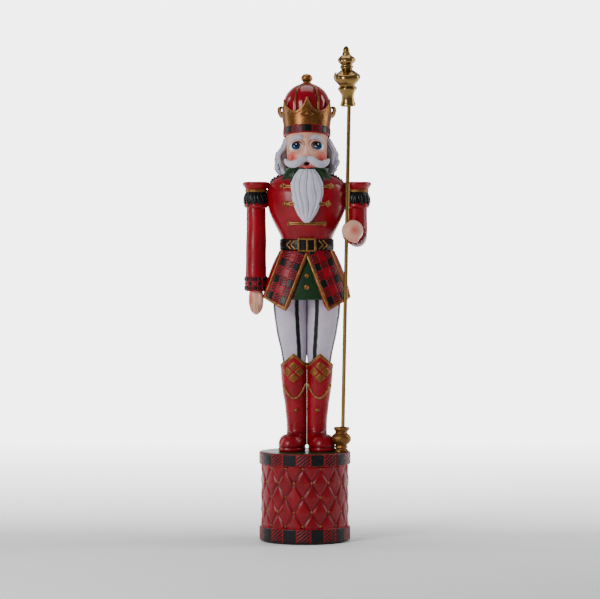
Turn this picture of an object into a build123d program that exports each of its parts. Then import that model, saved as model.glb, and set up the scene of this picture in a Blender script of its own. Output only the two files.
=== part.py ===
from build123d import *
import math
import os

# A tall standing nutcracker soldier in a crown, on a toy drum, holding a brass staff.
# Millimetres. The figure faces -Y, +Z is up, and the origin is the centre of the drum's underside.
# "left" and "right" are the figure's own, so its left hand, with the staff, is on the +X side.

# ---- Driving dimensions ----
DRUM_RADIUS = 79.0
DRUM_HEIGHT = 165.8
FIGURE_X = 3.5                  # the figure stands a little off the drum's centre
FIGURE_Y = 12.0
HEAD_TILT = 11.0                # the head looks up a little
ROD_RADIUS = 3.7
WALL = 5.0                      # wall of the hollow castings
GLUE = 0.1                      # glue line between castings
PRISM_DEPTH = 120.0             # reach of the shapes that trim a piece's outline from the front

# ---- Drum ----
FELT = 1.5
BASE_THICKNESS = 6.5
BASE_TOP = FELT + BASE_THICKNESS
DRUM_WALL = 6.0
TOP_PLATE = 7.8
PLATE_UNDERSIDE = DRUM_HEIGHT - TOP_PLATE
LOWER_HOOP_TOP = 29.4
LOWER_HOOP_RADIUS = 84.4
UPPER_HOOP_BOTTOM = 142.8
UPPER_HOOP_RADIUS = 84.7
HOOP_ROUND = 1.6
DIAMONDS_AROUND = 15
STUD_RADIUS = 2.3
STUD_ROW_HEIGHTS = (32.4, 59.2, 86.0, 112.8, 139.6)
FIRST_STUD_ANGLE = -92.6
BALLAST_RADIUS = 58.0
BALLAST_HEIGHT = 26.0
SCREW_CIRCLE = 42.0
SCREW_SHANK_RADIUS = 2.2
SCREW_HEAD_RADIUS = 4.5
SCREW_HEAD_HEIGHT = 2.6
SCREW_TOP = 24.0

# ---- Legs ----
LEG_ROD_OFFSET = 20.0
LEG_ROD_RADIUS = 3.0
NUT_ACROSS_FLATS = 10.0
NUT_HEIGHT = 5.0
WASHER_RADIUS = 7.0
WASHER_THICKNESS = 1.6
ROD_STICK_OUT = 2.0
TORSO_BOTTOM = 538.0
TORSO_FLOOR = 7.0
TROUSER_BOTTOM = 322.0

# Boot shaft: height, centre out from the figure's midline, half width, half depth
BOOT_SHAFT = (
    (192.0, 18.0, 17.6, 21.5),
    (209.0, 18.0, 17.5, 20.0),
    (245.0, 19.2, 18.6, 20.0),
    (290.0, 22.4, 21.8, 22.5),
    (348.0, 24.1, 23.0, 24.0),
)
# Boot foot: height, centre out, centre forward, half width, half depth
BOOT_FOOT = (
    (DRUM_HEIGHT, 25.0, 10.0, 23.0, 33.0),
    (171.0, 25.6, 11.0, 25.0, 36.0),
    (185.0, 25.4, 11.0, 24.6, 35.0),
    (195.0, 22.0, 8.0, 20.0, 28.0),
    (201.0, 19.0, 4.0, 15.0, 22.0),
)
TOE_SPLAY = 7.0
PEAK_REACH = 34.0
BOOT_PEAK = 348.0
BOOT_SIDE = 328.0
TRIM_WIDTH = 7.0
TRIM_PROUD = 1.6
CHAIN_ENDS = 287.0
CHAIN_LOW = 264.0
CHAIN_RADIUS = 2.0
CHAIN_MIDDLE = 23.0
CHAIN_HALF_WIDTH = 20.0
CHAIN_STEPS = 12
BOOT_BUTTON_HEIGHT = 242.0
BOOT_BUTTON_RADIUS = 3.8
BOOT_BUTTON_OUT = 19.5
BOOT_BUTTON_FORWARD = 20.5
DIAMOND_MIDDLE = 24.0
DIAMOND_HALF_WIDTH = 8.2
DIAMOND_HALF_HEIGHT = 8.0
DIAMOND_PROUD = 1.0
# Boot diamonds: distance out from the boot's middle, height
BOOT_DIAMONDS = ((0.0, 324.0), (-12.5, 313.5), (12.5, 313.5), (0.0, 300.5))

# Trouser leg: height, centre out, half width, half depth
TROUSER_LEG = (
    (TROUSER_BOTTOM, 22.8, 18.6, 19.5),
    (345.0, 23.6, 22.0, 23.0),
    (390.0, 28.0, 28.2, 29.0),
    (438.0, 31.0, 31.2, 33.0),
    (490.0, 28.5, 31.8, 34.0),
    (TORSO_BOTTOM - GLUE, 21.5, 25.8, 33.0),
)

# ---- Torso: height, half width, half depth, depth centre ----
TORSO = (
    (TORSO_BOTTOM, 46.0, 37.0, 0.0),
    (560.0, 47.8, 39.0, 0.0),
    (585.0, 59.5, 44.5, 0.0),
    (610.0, 70.0, 49.5, 0.0),
    (632.0, 73.5, 51.0, 0.0),
    (650.0, 72.5, 48.0, 0.0),
    (664.0, 64.0, 41.0, 1.0),
    (674.0, 50.0, 33.0, 3.0),
    (680.0, 37.0, 27.0, 4.0),
)
BELT_BOTTOM = 538.0
BELT_TOP = 559.0
BELT_OUTER = (50.5, 41.7)
BELT_INNER = (48.1, 39.3)
BUCKLE_WIDTH = 34.5
BUCKLE_HEIGHT = 26.4
BUCKLE_BAR = 4.6
BUCKLE_BEHIND = 4.5
BUCKLE_THICKNESS = 7.5
CHEVRON_OFFSETS = (23.0, 30.5)
CHEVRON_REACH = 7.0
CHEVRON_HALF_HEIGHT = 8.5
CHEVRON_WIDTH = 2.6
CHEVRON_PROUD = 1.2

# ---- Coat skirt: height, half width, half depth ----
SKIRT_TOP = BELT_BOTTOM - 0.1
SKIRT = (
    (SKIRT_TOP, 47.5, 39.5),
    (515.0, 58.5, 46.0),
    (480.0, 71.0, 55.0),
    (425.0, 83.0, 66.0),
)
COAT_THICKNESS = 3.5
PANEL_THICKNESS = 3.0
TRIM_RELIEF = 1.5
# Front edge of one coat tail, from its side to the midline: distance out, height
COAT_EDGE = ((-100.0, 456.0), (-79.0, 449.0), (-39.0, 427.0), (-33.0, 437.0), (0.0, 526.0))
COAT_LOWEST = 400.0
BACK_HEM = 456.0
PANEL_OUTLINE = ((0.0, 538.0), (-45.0, 538.0), (-77.5, 453.0), (-39.8, 432.0), (0.0, 530.0))
WAISTCOAT_HALF_WIDTH = 32.0
WAISTCOAT_BOTTOM = 449.0
WAISTCOAT_BUTTONS = ((492.0, 4.3), (471.0, 5.0))
BUTTON_BEHIND = 2.5
BUTTON_THICKNESS = 4.5
PANEL_BORDER = 4.5

# ---- Coat braid ----
BRAID_RADIUS = 3.6
UPPER_FROGS = (656.0, 31.0, 47.0)
LOWER_FROGS = (624.0, 27.0, 41.0)
BRAID_BAR_HEIGHT = 588.0
BRAID_BAR_HALF = 34.0

# ---- Shoulder ruffle ----
RUFFLE_PROUD = 3.2
RUFFLE_BACK = 14.0
RUFFLE_MIDDLE = 668.0
RUFFLE_SIZE = (160.0, 9.0, 26.0)

# ---- Arms ----
SHOULDER_OFFSET = 94.0
SLEEVE_RADIUS = 18.2
CAP_RADIUS = 25.5
CAP_BOTTOM = 651.0
CAP_TOP = 665.0
CAP_ROUND = 5.0
CAP_BAND_RADIUS = 20.0
CAP_BAND_BOTTOM = 646.0
FRINGE_BOTTOM = 619.0
FRINGE_TOP_RADIUS = 19.6
FRINGE_RADIUS = 25.2
RIGHT_CUFF_TOP = 491.0
RIGHT_CUFF_BOTTOM = 462.0
CUFF_RADIUS = 22.0
CUFF_ROUND = 2.5
HAND_HALF_WIDTH = 13.9
HAND_HALF_DEPTH = 11.0
# Right hand: height, share of its full size
HAND = ((RIGHT_CUFF_BOTTOM, 0.86), (450.0, 1.0), (434.0, 0.96), (424.0, 0.7), (420.0, 0.25))
ELBOW_HEIGHT = 562.0
ELBOW_BACK = 10.0
FIST_CENTRE = Vector(87.0, -62.0, 575.0)
LEFT_CUFF_LENGTH = 17.0
FIST_RADIUS = 20.2
WRIST_RADIUS = 13.0
WRIST_GAP = 2.0
DOWEL_RADIUS = 4.0
ARM_DOWEL_HEIGHT = 634.0
ARM_DOWEL_INNER = 58.0
ARM_DOWEL_OUTER = 98.0

# ---- Staff ----
STAFF_FOOT = Vector(69.6, -18.0, 174.0)
STAFF_DIRECTION = Vector(6.2, -42.0, 366.0).normalized()
STAFF_SHAFT = 641.5
FOOT_PLUG_LENGTH = 4.0
PLUG_STEM_RADIUS = 2.55
PLUG_STEM_LENGTH = 24.0
SEAT_GAP = 0.02
RUNNING_CLEARANCE = 0.05
FINIAL_SOCKET = 10.0
HAND_CLEARANCE = 0.3
FINIAL_TILT = 3.0
FINIAL_SHIFT = -1.8              # the finial and the pot are cast a little off the rod's line
POT_SHIFT = -2.2
# Finial outline: distance along the staff, radius
FINIAL = (
    (0.0, 12.6), (2.5, 14.0), (6.0, 13.2), (14.5, 10.9), (24.0, 12.6), (33.0, 17.2), (35.0, 17.2),
    (36.5, 13.8), (40.0, 15.5), (46.0, 21.5), (53.5, 25.0), (58.0, 23.2), (65.0, 13.6), (68.0, 9.8),
    (69.5, 11.6), (71.5, 12.4), (73.5, 11.2), (76.0, 10.4), (79.0, 13.6), (85.5, 16.8), (91.0, 12.6),
    (95.0, 7.2), (97.5, 7.6), (99.5, 5.6), (103.0, 6.2), (107.0, 4.4), (111.0, 0.8),
)
# Socket pot outline: height above the drum, radius
POT = (
    (0.0, 12.2), (2.6, 12.6), (5.2, 12.0), (6.4, 10.4), (8.4, 11.6), (10.6, 11.4), (12.0, 10.4),
    (16.0, 13.8), (22.0, 17.4), (27.0, 17.9), (32.0, 15.0), (35.4, 11.2), (38.0, 11.4), (42.0, 14.4),
    (45.4, 14.4), (46.0, 13.6),
)
POT_MOUTH_RADIUS = 10.0
POT_MOUTH_DEPTH = 3.8

# ---- Head, in its own upright frame above the neck, before it is tilted ----
NECK_HEIGHT = 700.0
# Head: height, half width, half depth, depth centre
HEAD = (
    (672.0, 26.0, 26.0, 4.0),
    (682.0, 30.0, 34.0, -1.0),
    (700.0, 35.5, 40.5, -3.0),
    (718.0, 37.5, 42.0, -2.0),
    (738.0, 38.5, 42.0, 0.0),
    (749.0, 39.0, 41.0, 1.0),
)
# Hair, wrapped round the sides and back of the head: height, half width, half depth, depth centre
HAIR = (
    (676.0, 46.0, 30.0, 24.0),
    (690.0, 59.0, 38.0, 22.0),
    (712.0, 60.5, 39.0, 20.0),
    (732.0, 53.0, 36.0, 17.0),
    (748.5, 42.0, 33.0, 12.0),
)
HAIR_FRONT = -14.0
# Beard: height, half width, half depth, depth centre
BEARD = (
    (589.0, 2.5, 3.0, -53.0),
    (600.0, 11.0, 8.0, -49.5),
    (622.0, 22.0, 12.0, -45.0),
    (650.0, 29.4, 15.0, -40.0),
    (672.0, 25.0, 16.0, -36.0),
    (688.0, 15.0, 14.0, -34.0),
)
EYE_OFFSET = 19.7
EYE_HEIGHT = 724.0
EYE_FORWARD = 30.0
EYE_RADIUS = 10.0
EYE_TURN = 20.0
# On the face: distance out, distance forward, height
BROW = ((9.0, 39.5, 740.0), (27.0, 31.0, 738.0))
BROW_RADIUS = 3.4
MOUSTACHE = ((0.0, 45.5, 700.0), (20.0, 40.5, 690.0), (38.0, 27.0, 700.0))
MOUSTACHE_RADIUS = 5.0
MOUSTACHE_TIP_RADIUS = 4.0
NOSE = (0.0, 44.0, 708.0)
NOSE_RADIUS = 6.0
LIP = (0.0, 42.5, 684.0)
LIP_RADIUS = 5.0
COLLAR = ((664.0, 36.0, 30.0, -2.0), (690.0, 40.0, 37.0, -3.0))
COLLAR_THICKNESS = 4.0
NECK_DOWEL_RADIUS = 7.0
NECK_DOWEL_BOTTOM = 655.0
NECK_DOWEL_TOP = 712.0

# ---- Hat ----
BAND_BOTTOM = 749.0
BAND_TOP = 764.5
BAND_RADIUS = 44.0
CROWN_TOP = 814.0
CROWN_DIP = 789.0
CROWN_LOW_RADIUS = 42.6
CROWN_HIGH_RADIUS = 49.5
CROWN_WALL = 3.0
CROWN_POINTS = 6
DOME_RADIUS = 42.0
DOME_CENTRE = 809.0
RIB_RADIUS = 1.9
KNOB_BOTTOM = 850.0
KNOB_HEIGHT = 19.0
# Knob outline: height, radius
KNOB_OUTLINE = ((0.0, 6.0), (2.5, 7.4), (9.5, 11.0), (15.0, 8.0), (KNOB_HEIGHT, 0.8))
MEDALLION_MIDDLE = 783.0
MEDALLION_WIDTH = 26.0
MEDALLION_HEIGHT = 17.0
MEDALLION_THICKNESS = 6.5
MEDALLION_LEAN = 0.08
BOSS_RADIUS = 3.6
BOSS_OUT = 47.5
# A rolled lug on each side of the crown: distance out, height
LUG = ((47.0, 789.5), (50.5, 799.0))
LUG_RADIUS = 4.2

SIDES = {"left": 1, "right": -1}
BOTTOM_ALIGN = (Align.CENTER, Align.CENTER, Align.MIN)
SIDE_ALIGN = {1: Align.MIN, -1: Align.MAX}


# ---- Shape helpers ----
def ring(outer, inner, bottom, top):
    """A plain ring about the drum's axis."""
    body = Pos(0, 0, bottom) * extrude(Circle(outer), top - bottom)
    return body - Pos(0, 0, bottom) * extrude(Circle(inner), top - bottom)


def turned(outline, centre=(0, 0, 0)):
    """A solid turned about +Z through centre, from (height, radius) pairs joined smoothly."""
    points = [(radius, height) for height, radius in outline]
    edges = [Spline(*points)]
    edges.append(Line(points[-1], (0, points[-1][1])))
    edges.append(Line((0, points[-1][1]), (0, points[0][1])))
    edges.append(Line((0, points[0][1]), points[0]))
    face = Plane.XZ * make_face(edges)
    return Pos(*centre) * revolve(face, Axis.Z)


def oval(height, half_width, half_depth, centre, power=2.0, count=8):
    """A closed superellipse in a level plane: power 2 is an ellipse, more is squarer."""
    points = []
    for step in range(count):
        angle = 2 * math.pi * step / count
        across = math.copysign(abs(math.cos(angle)) ** (2 / power), math.cos(angle))
        along = math.copysign(abs(math.sin(angle)) ** (2 / power), math.sin(angle))
        points.append((centre[0] + half_width * across, centre[1] + half_depth * along, height))
    return make_face([Spline(*points, periodic=True)])


def body_loft(rows, grow=0.0, power=2.0):
    """A loft about the figure's axis through (height, half width, half depth, depth centre) rows."""
    faces = []
    for row in rows:
        depth_centre = row[3] if len(row) > 3 else 0.0
        centre = (FIGURE_X, FIGURE_Y + depth_centre)
        faces.append(oval(row[0], row[1] + grow, row[2] + grow, centre, power))
    return loft(faces)


def leg_loft(rows, side, grow=0.0):
    """A loft for one leg through (height, centre out, half width, half depth) rows."""
    faces = []
    for height, out, half_width, half_depth in rows:
        centre = (FIGURE_X + side * out, FIGURE_Y)
        faces.append(oval(height, half_width + grow, half_depth + grow, centre))
    return loft(faces)


def trimmed(rows, bottom, top):
    """The same rows with the first and last heights moved to bottom and top."""
    return ((bottom, *rows[0][1:]), *rows[1:-1], (top, *rows[-1][1:]))


def front_prism(outline):
    """A prism along Y over the figure's front half, from (out, height) points about its midline."""
    points = [(FIGURE_X + out, height) for out, height in outline]
    face = Plane.XZ * make_face([Polyline(*points, close=True)])
    return Pos(0, FIGURE_Y, 0) * extrude(face, PRISM_DEPTH)


def mirrored(outline):
    return tuple((-out, height) for out, height in outline)


def capsule(start, end, radius):
    """A rod with ball ends."""
    start = Vector(*start)
    end = Vector(*end)
    rod = Plane(start, z_dir=end - start) * extrude(Circle(radius), (end - start).length)
    return rod + Pos(*start) * Sphere(radius) + Pos(*end) * Sphere(radius)


def between(start, end, radius):
    """A plain round rod from start to end."""
    start = Vector(*start)
    end = Vector(*end)
    return Plane(start, z_dir=end - start) * extrude(Circle(radius), (end - start).length)


def tilt(shape):
    """Lean a head or hat part back about the neck."""
    pivot = Axis((FIGURE_X, FIGURE_Y, NECK_HEIGHT), (1, 0, 0))
    return shape.rotate(pivot, -HEAD_TILT)


def cut(piece, *others):
    """Bed a piece against its neighbours by taking them out of it."""
    for other in others:
        piece = piece - other
    return piece


def grouped(pieces):
    """Separate solids kept together as one part."""
    solids = []
    for piece in pieces:
        solids.extend(piece.solids())
    return Compound(children=solids)


def on_staff(distance):
    return STAFF_FOOT + STAFF_DIRECTION * distance


# ---- Drum ----
def make_drum():
    parts = {}
    parts["felt_pad"] = extrude(Circle(DRUM_RADIUS - 3), FELT)
    drum_inside = DRUM_RADIUS - DRUM_WALL
    screws = []
    for turn in range(4):
        angle = math.radians(45 + 90 * turn)
        place = Pos(SCREW_CIRCLE * math.cos(angle), SCREW_CIRCLE * math.sin(angle), FELT)
        head = Cone(SCREW_HEAD_RADIUS, SCREW_SHANK_RADIUS, SCREW_HEAD_HEIGHT, align=BOTTOM_ALIGN)
        shank = extrude(Circle(SCREW_SHANK_RADIUS), SCREW_TOP - FELT)
        screws.append(place * (head + shank))
    parts["base_screws"] = grouped(screws)
    base = Pos(0, 0, FELT) * extrude(Circle(drum_inside), BASE_THICKNESS)
    parts["base_plate"] = cut(base, *screws)
    ballast = Pos(0, 0, BASE_TOP) * extrude(Circle(BALLAST_RADIUS), BALLAST_HEIGHT)
    parts["ballast_weight"] = cut(ballast, *screws)
    parts["drum_shell"] = ring(DRUM_RADIUS, drum_inside, FELT, PLATE_UNDERSIDE)
    plate = Pos(0, 0, PLATE_UNDERSIDE) * extrude(Circle(DRUM_RADIUS), TOP_PLATE)
    parts["drum_top_plate"] = cut(plate, *leg_rods())
    lower = ring(LOWER_HOOP_RADIUS, DRUM_RADIUS, FELT, LOWER_HOOP_TOP)
    upper = ring(UPPER_HOOP_RADIUS, DRUM_RADIUS, UPPER_HOOP_BOTTOM, DRUM_HEIGHT)
    parts["lower_hoop"] = fillet(outer_rims(lower), HOOP_ROUND)
    parts["upper_hoop"] = fillet(outer_rims(upper), HOOP_ROUND)
    studs = []
    core = extrude(Circle(DRUM_RADIUS), DRUM_HEIGHT)
    for row, height in enumerate(STUD_ROW_HEIGHTS):
        for step in range(DIAMONDS_AROUND):
            pitch = 360 / DIAMONDS_AROUND
            angle = math.radians(FIRST_STUD_ANGLE + pitch * (step + 0.5 * (row % 2)))
            place = Pos(DRUM_RADIUS * math.cos(angle), DRUM_RADIUS * math.sin(angle), height)
            studs.append(place * Sphere(STUD_RADIUS) - core)
    parts["drum_studs"] = grouped(studs)
    return parts


def outer_rims(hoop):
    """The two outer circular edges of a hoop."""
    circles = hoop.edges().filter_by(GeomType.CIRCLE)
    return circles.group_by(SortBy.RADIUS)[-1]


def leg_rods():
    """Two threaded rods that clamp the boots and trousers between the drum and the torso."""
    rods = []
    bottom = PLATE_UNDERSIDE - WASHER_THICKNESS - NUT_HEIGHT - ROD_STICK_OUT
    top = TORSO_BOTTOM + TORSO_FLOOR + WASHER_THICKNESS + NUT_HEIGHT + ROD_STICK_OUT
    for side in SIDES.values():
        foot = (FIGURE_X + side * LEG_ROD_OFFSET, FIGURE_Y, bottom)
        rods.append(Pos(*foot) * extrude(Circle(LEG_ROD_RADIUS), top - bottom))
    return rods


def make_rod_fasteners():
    parts = {"leg_rods": grouped(leg_rods())}
    washers = []
    nuts = []
    floor = TORSO_BOTTOM + TORSO_FLOOR
    stacks = (
        (PLATE_UNDERSIDE - WASHER_THICKNESS, PLATE_UNDERSIDE - WASHER_THICKNESS - NUT_HEIGHT),
        (floor, floor + WASHER_THICKNESS),
    )
    for side in SIDES.values():
        for washer_bottom, nut_bottom in stacks:
            centre = (FIGURE_X + side * LEG_ROD_OFFSET, FIGURE_Y)
            washer = Circle(WASHER_RADIUS) - Circle(LEG_ROD_RADIUS)
            nut = RegularPolygon(NUT_ACROSS_FLATS / 2, 6, major_radius=False) - Circle(LEG_ROD_RADIUS)
            washers.append(Pos(*centre, washer_bottom) * extrude(washer, WASHER_THICKNESS))
            nuts.append(Pos(*centre, nut_bottom) * extrude(nut, NUT_HEIGHT))
    parts["rod_nuts_and_washers"] = grouped(washers + nuts)
    return parts


# ---- Legs ----
def boot_solid(side):
    """The outside of one boot."""
    shaft = leg_loft(BOOT_SHAFT, side)
    faces = []
    for height, out, forward, half_width, half_depth in BOOT_FOOT:
        faces.append(oval(height, half_width, half_depth, (0, -forward)))
    foot = Rot(0, 0, side * TOE_SPLAY) * loft(faces)
    out = BOOT_FOOT[0][1]
    return shaft + Pos(FIGURE_X + side * out, FIGURE_Y, 0) * foot


def peaked_top(side, low_shift=0.0):
    """The space above the boot's mouth, which rises to a point at the front and back."""
    middle = side * BOOT_SHAFT[-1][1]
    slope = (BOOT_PEAK - BOOT_SIDE) / BOOT_SHAFT[-1][2]
    low = BOOT_PEAK - slope * PEAK_REACH
    outline = (
        (middle - PEAK_REACH, low - low_shift),
        (middle, BOOT_PEAK - low_shift),
        (middle + PEAK_REACH, low - low_shift),
        (middle + PEAK_REACH, BOOT_PEAK + PEAK_REACH),
        (middle - PEAK_REACH, BOOT_PEAK + PEAK_REACH),
    )
    return Pos(0, PRISM_DEPTH / 2, 0) * front_prism(outline)


def make_legs(pot):
    parts = {}
    rods = leg_rods()
    outer = leg_loft(TROUSER_LEG, 1) + leg_loft(TROUSER_LEG, -1)
    rows = trimmed(TROUSER_LEG, TROUSER_BOTTOM + WALL, TORSO_BOTTOM - WALL)
    hollow = leg_loft(rows, 1, -WALL) + leg_loft(rows, -1, -WALL)
    parts["trousers"] = cut(outer, hollow, *rods)
    clear = leg_loft(TROUSER_LEG, 1, GLUE) + leg_loft(TROUSER_LEG, -1, GLUE)
    trims = []
    midline = Pos(FIGURE_X, FIGURE_Y, 0)
    for name, side in SIDES.items():
        align = (SIDE_ALIGN[side], Align.CENTER, Align.CENTER)
        half = midline * Box(PRISM_DEPTH, PRISM_DEPTH, 3 * BOOT_PEAK, align=align)
        boot = cut(boot_solid(side), peaked_top(side), clear, pot, *rods) & half
        parts[name + "_boot"] = largest(boot)
        band = leg_loft(BOOT_SHAFT, side, TRIM_PROUD) - leg_loft(BOOT_SHAFT, side, GLUE) - peaked_top(side)
        band = band & peaked_top(side, TRIM_WIDTH) & half
        trims.append(largest(cut(band, clear)))
    parts["boot_trims"] = grouped(trims)
    parts["boot_diamonds"] = boot_diamonds(parts)
    parts["boot_chains"] = boot_chains()
    buttons = []
    for name, side in SIDES.items():
        out = FIGURE_X + side * BOOT_BUTTON_OUT
        place = Pos(out, FIGURE_Y - BOOT_BUTTON_FORWARD, BOOT_BUTTON_HEIGHT)
        buttons.append(largest(cut(place * Sphere(BOOT_BUTTON_RADIUS), parts[name + "_boot"])))
    parts["boot_buttons"] = grouped(buttons)
    return parts


def largest(shape):
    """The biggest solid of a shape, without any sliver that a cut has left."""
    return max(shape.solids(), key=lambda solid: solid.volume)


def boot_diamonds(parts):
    """Four raised gold lozenges on each boot's front."""
    lozenges = []
    for side in SIDES.values():
        relief = leg_loft(BOOT_SHAFT, side, DIAMOND_PROUD) - leg_loft(BOOT_SHAFT, side, GLUE)
        for out, height in BOOT_DIAMONDS:
            centre_out = side * DIAMOND_MIDDLE + out
            outline = (
                (centre_out - DIAMOND_HALF_WIDTH, height),
                (centre_out, height + DIAMOND_HALF_HEIGHT),
                (centre_out + DIAMOND_HALF_WIDTH, height),
                (centre_out, height - DIAMOND_HALF_HEIGHT),
            )
            lozenge = relief & front_prism(outline)
            lozenges.append(largest(cut(lozenge, parts["boot_trims"])))
    return grouped(lozenges)


def boot_chains():
    """A gold rope hanging in a swag across each boot's front."""
    chains = []
    for side in SIDES.values():
        relief = leg_loft(BOOT_SHAFT, side, 2 * CHAIN_RADIUS) - leg_loft(BOOT_SHAFT, side, GLUE)
        sag = CHAIN_ENDS - CHAIN_LOW
        outer = []
        inner = []
        for step in range(CHAIN_STEPS + 1):
            across = -1 + 2 * step / CHAIN_STEPS
            out = side * CHAIN_MIDDLE + across * CHAIN_HALF_WIDTH
            drop = CHAIN_LOW + sag * across * across
            outer.append((out, drop + CHAIN_RADIUS))
            inner.append((out, drop - CHAIN_RADIUS))
        outline = outer + inner[::-1]
        chains.append(largest(relief & front_prism(outline)))
    return grouped(chains)


# ---- Torso and coat ----
def torso_outer(grow=0.0):
    return body_loft(TORSO, grow)


def make_torso(dowels):
    parts = {}
    chest = torso_outer(GLUE)
    rows = trimmed(TORSO, TORSO_BOTTOM + TORSO_FLOOR, TORSO[-1][0] - WALL)
    hollow = body_loft(rows, -WALL)
    # the belt sits in a shallow groove round the waist
    groove = belt_band(GLUE) - belt_band(-2 * GLUE, BELT_INNER)
    parts["torso"] = cut(torso_outer(), hollow, groove, *leg_rods(), *dowels)
    parts["belt"] = belt_band(0.0) - belt_band(0.0, BELT_INNER)
    front = FIGURE_Y - BELT_OUTER[1]
    middle_height = (BELT_BOTTOM + BELT_TOP) / 2
    frame = Rectangle(BUCKLE_WIDTH, BUCKLE_HEIGHT)
    window = Rectangle(BUCKLE_WIDTH - 2 * BUCKLE_BAR, BUCKLE_HEIGHT - 2 * BUCKLE_BAR)
    plate = frame - window + Rectangle(BUCKLE_BAR, BUCKLE_HEIGHT)
    plane = Plane((FIGURE_X, front + BUCKLE_BEHIND, middle_height), x_dir=(1, 0, 0), z_dir=(0, -1, 0))
    buckle = plane * extrude(plate, BUCKLE_THICKNESS)
    skirt = body_loft(SKIRT, COAT_THICKNESS + PANEL_THICKNESS + TRIM_RELIEF + GLUE, power=2.5)
    parts["belt_buckle"] = largest(cut(buckle, belt_band(GLUE), chest, skirt))
    chevrons = []
    relief = belt_band(CHEVRON_PROUD) - belt_band(GLUE)
    for side in SIDES.values():
        for out in CHEVRON_OFFSETS:
            points = chevron_outline(side, out, middle_height)
            chevrons.append(largest(relief & front_prism(points)))
    parts["belt_chevrons"] = grouped(chevrons)
    return parts


def belt_band(grow, size=BELT_OUTER):
    """A solid oval as tall as the belt."""
    face = oval(BELT_BOTTOM, size[0] + grow, size[1] + grow, (FIGURE_X, FIGURE_Y))
    return extrude(face, BELT_TOP - BELT_BOTTOM, dir=(0, 0, 1))


def chevron_outline(side, out, height):
    """A narrow V on its side, with its point away from the buckle."""
    half = CHEVRON_HALF_HEIGHT
    width = side * CHEVRON_WIDTH
    tip = side * (out + CHEVRON_REACH)
    tail = side * out
    return (
        (tail, height + half),
        (tip, height),
        (tail, height - half),
        (tail - width, height - half),
        (tip - width, height),
        (tail - width, height + half),
    )


def skirt_layer(inner, outer):
    """A shell of the flared coat skirt between two reliefs."""
    return body_loft(SKIRT, outer, power=2.5) - body_loft(SKIRT, inner + GLUE, power=2.5)


def make_skirt(trousers, arm_clearance):
    parts = {}
    neighbours = (trousers, arm_clearance)
    outer, _, corner, *_ = COAT_EDGE
    opening = front_prism((*COAT_EDGE[2:], *mirrored(COAT_EDGE[2:4])[::-1]))
    side_hem = (*COAT_EDGE[:3], (corner[0], COAT_LOWEST), (outer[0], COAT_LOWEST))
    hems = [front_prism(side_hem), front_prism(mirrored(side_hem))]
    middle_hem = (corner, (-corner[0], corner[1]), (-corner[0], COAT_LOWEST), (corner[0], COAT_LOWEST))
    align = (Align.CENTER, Align.MIN, Align.MIN)
    back = Pos(FIGURE_X, FIGURE_Y, COAT_LOWEST) * Box(240, PRISM_DEPTH, BACK_HEM - COAT_LOWEST, align=align)
    coat = cut(skirt_layer(0, COAT_THICKNESS), opening, *hems, front_prism(middle_hem), back)
    parts["coat_skirt"] = largest(cut(coat, *neighbours))
    triangle = (
        COAT_EDGE[-1],
        (-WAISTCOAT_HALF_WIDTH, WAISTCOAT_BOTTOM),
        (WAISTCOAT_HALF_WIDTH, WAISTCOAT_BOTTOM),
    )
    waistcoat = skirt_layer(-COAT_THICKNESS, 0) & front_prism(triangle)
    parts["waistcoat_panel"] = largest(cut(waistcoat, trousers))
    buttons = []
    for height, radius in WAISTCOAT_BUTTONS:
        reach = skirt_front(height)
        plane = Plane((FIGURE_X, reach + BUTTON_BEHIND, height), z_dir=(0, -1, 0))
        button = plane * extrude(Circle(radius), BUTTON_THICKNESS)
        buttons.append(largest(button - body_loft(SKIRT, GLUE, power=2.5)))
    parts["waistcoat_buttons"] = grouped(buttons)
    shell = skirt_layer(COAT_THICKNESS, COAT_THICKNESS + PANEL_THICKNESS)
    proud = skirt_layer(COAT_THICKNESS, COAT_THICKNESS + PANEL_THICKNESS + TRIM_RELIEF)
    trims = []
    for name, outline in (("right", PANEL_OUTLINE), ("left", mirrored(PANEL_OUTLINE))):
        field = front_prism(inset(outline))
        parts[name + "_plaid_panel"] = largest(cut(shell & field, *neighbours))
        border = proud & front_prism(outline)
        trims.append(largest(cut(border, field, *neighbours)))
    parts["panel_trims"] = grouped(trims)
    return parts


def skirt_front(height):
    """Y of the coat skirt's front surface at a height."""
    for upper, lower in zip(SKIRT, SKIRT[1:]):
        if lower[0] <= height <= upper[0]:
            share = (upper[0] - height) / (upper[0] - lower[0])
            return FIGURE_Y - (upper[2] + share * (lower[2] - upper[2]))
    return FIGURE_Y - SKIRT[-1][2]


def inset(outline):
    """The plaid field inside a panel's outline, leaving the gold border round it."""
    face = make_face([Polyline(*outline, close=True)])
    field = offset(face, -PANEL_BORDER, kind=Kind.INTERSECTION)
    wire = field.faces()[0].outer_wire()
    return tuple((vertex.X, vertex.Y) for vertex in ordered(wire))


def ordered(wire):
    """A polygon wire's corners in order round it."""
    return [edge.position_at(0) for edge in wire.order_edges()]


def make_braid(beard):
    """Gold frogs either side of the beard, and one bar below it."""
    parts = {}
    frogs = []
    chest = torso_outer(GLUE)
    for height, inner, outer in (UPPER_FROGS, LOWER_FROGS):
        for side in SIDES.values():
            start = (FIGURE_X + side * inner, chest_front(inner, height), height)
            end = (FIGURE_X + side * outer, chest_front(outer, height), height)
            frogs.append(largest(cut(capsule(start, end, BRAID_RADIUS), chest, beard)))
    parts["coat_frogs"] = grouped(frogs)
    middle = (FIGURE_X, chest_front(0, BRAID_BAR_HEIGHT), BRAID_BAR_HEIGHT)
    pieces = []
    for side in SIDES.values():
        out = BRAID_BAR_HALF
        end = (FIGURE_X + side * out, chest_front(out, BRAID_BAR_HEIGHT), BRAID_BAR_HEIGHT)
        pieces.append(capsule(middle, end, BRAID_RADIUS))
    bar = pieces[0] + pieces[1]
    parts["coat_bar"] = largest(cut(bar, chest, beard))
    return parts


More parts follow.
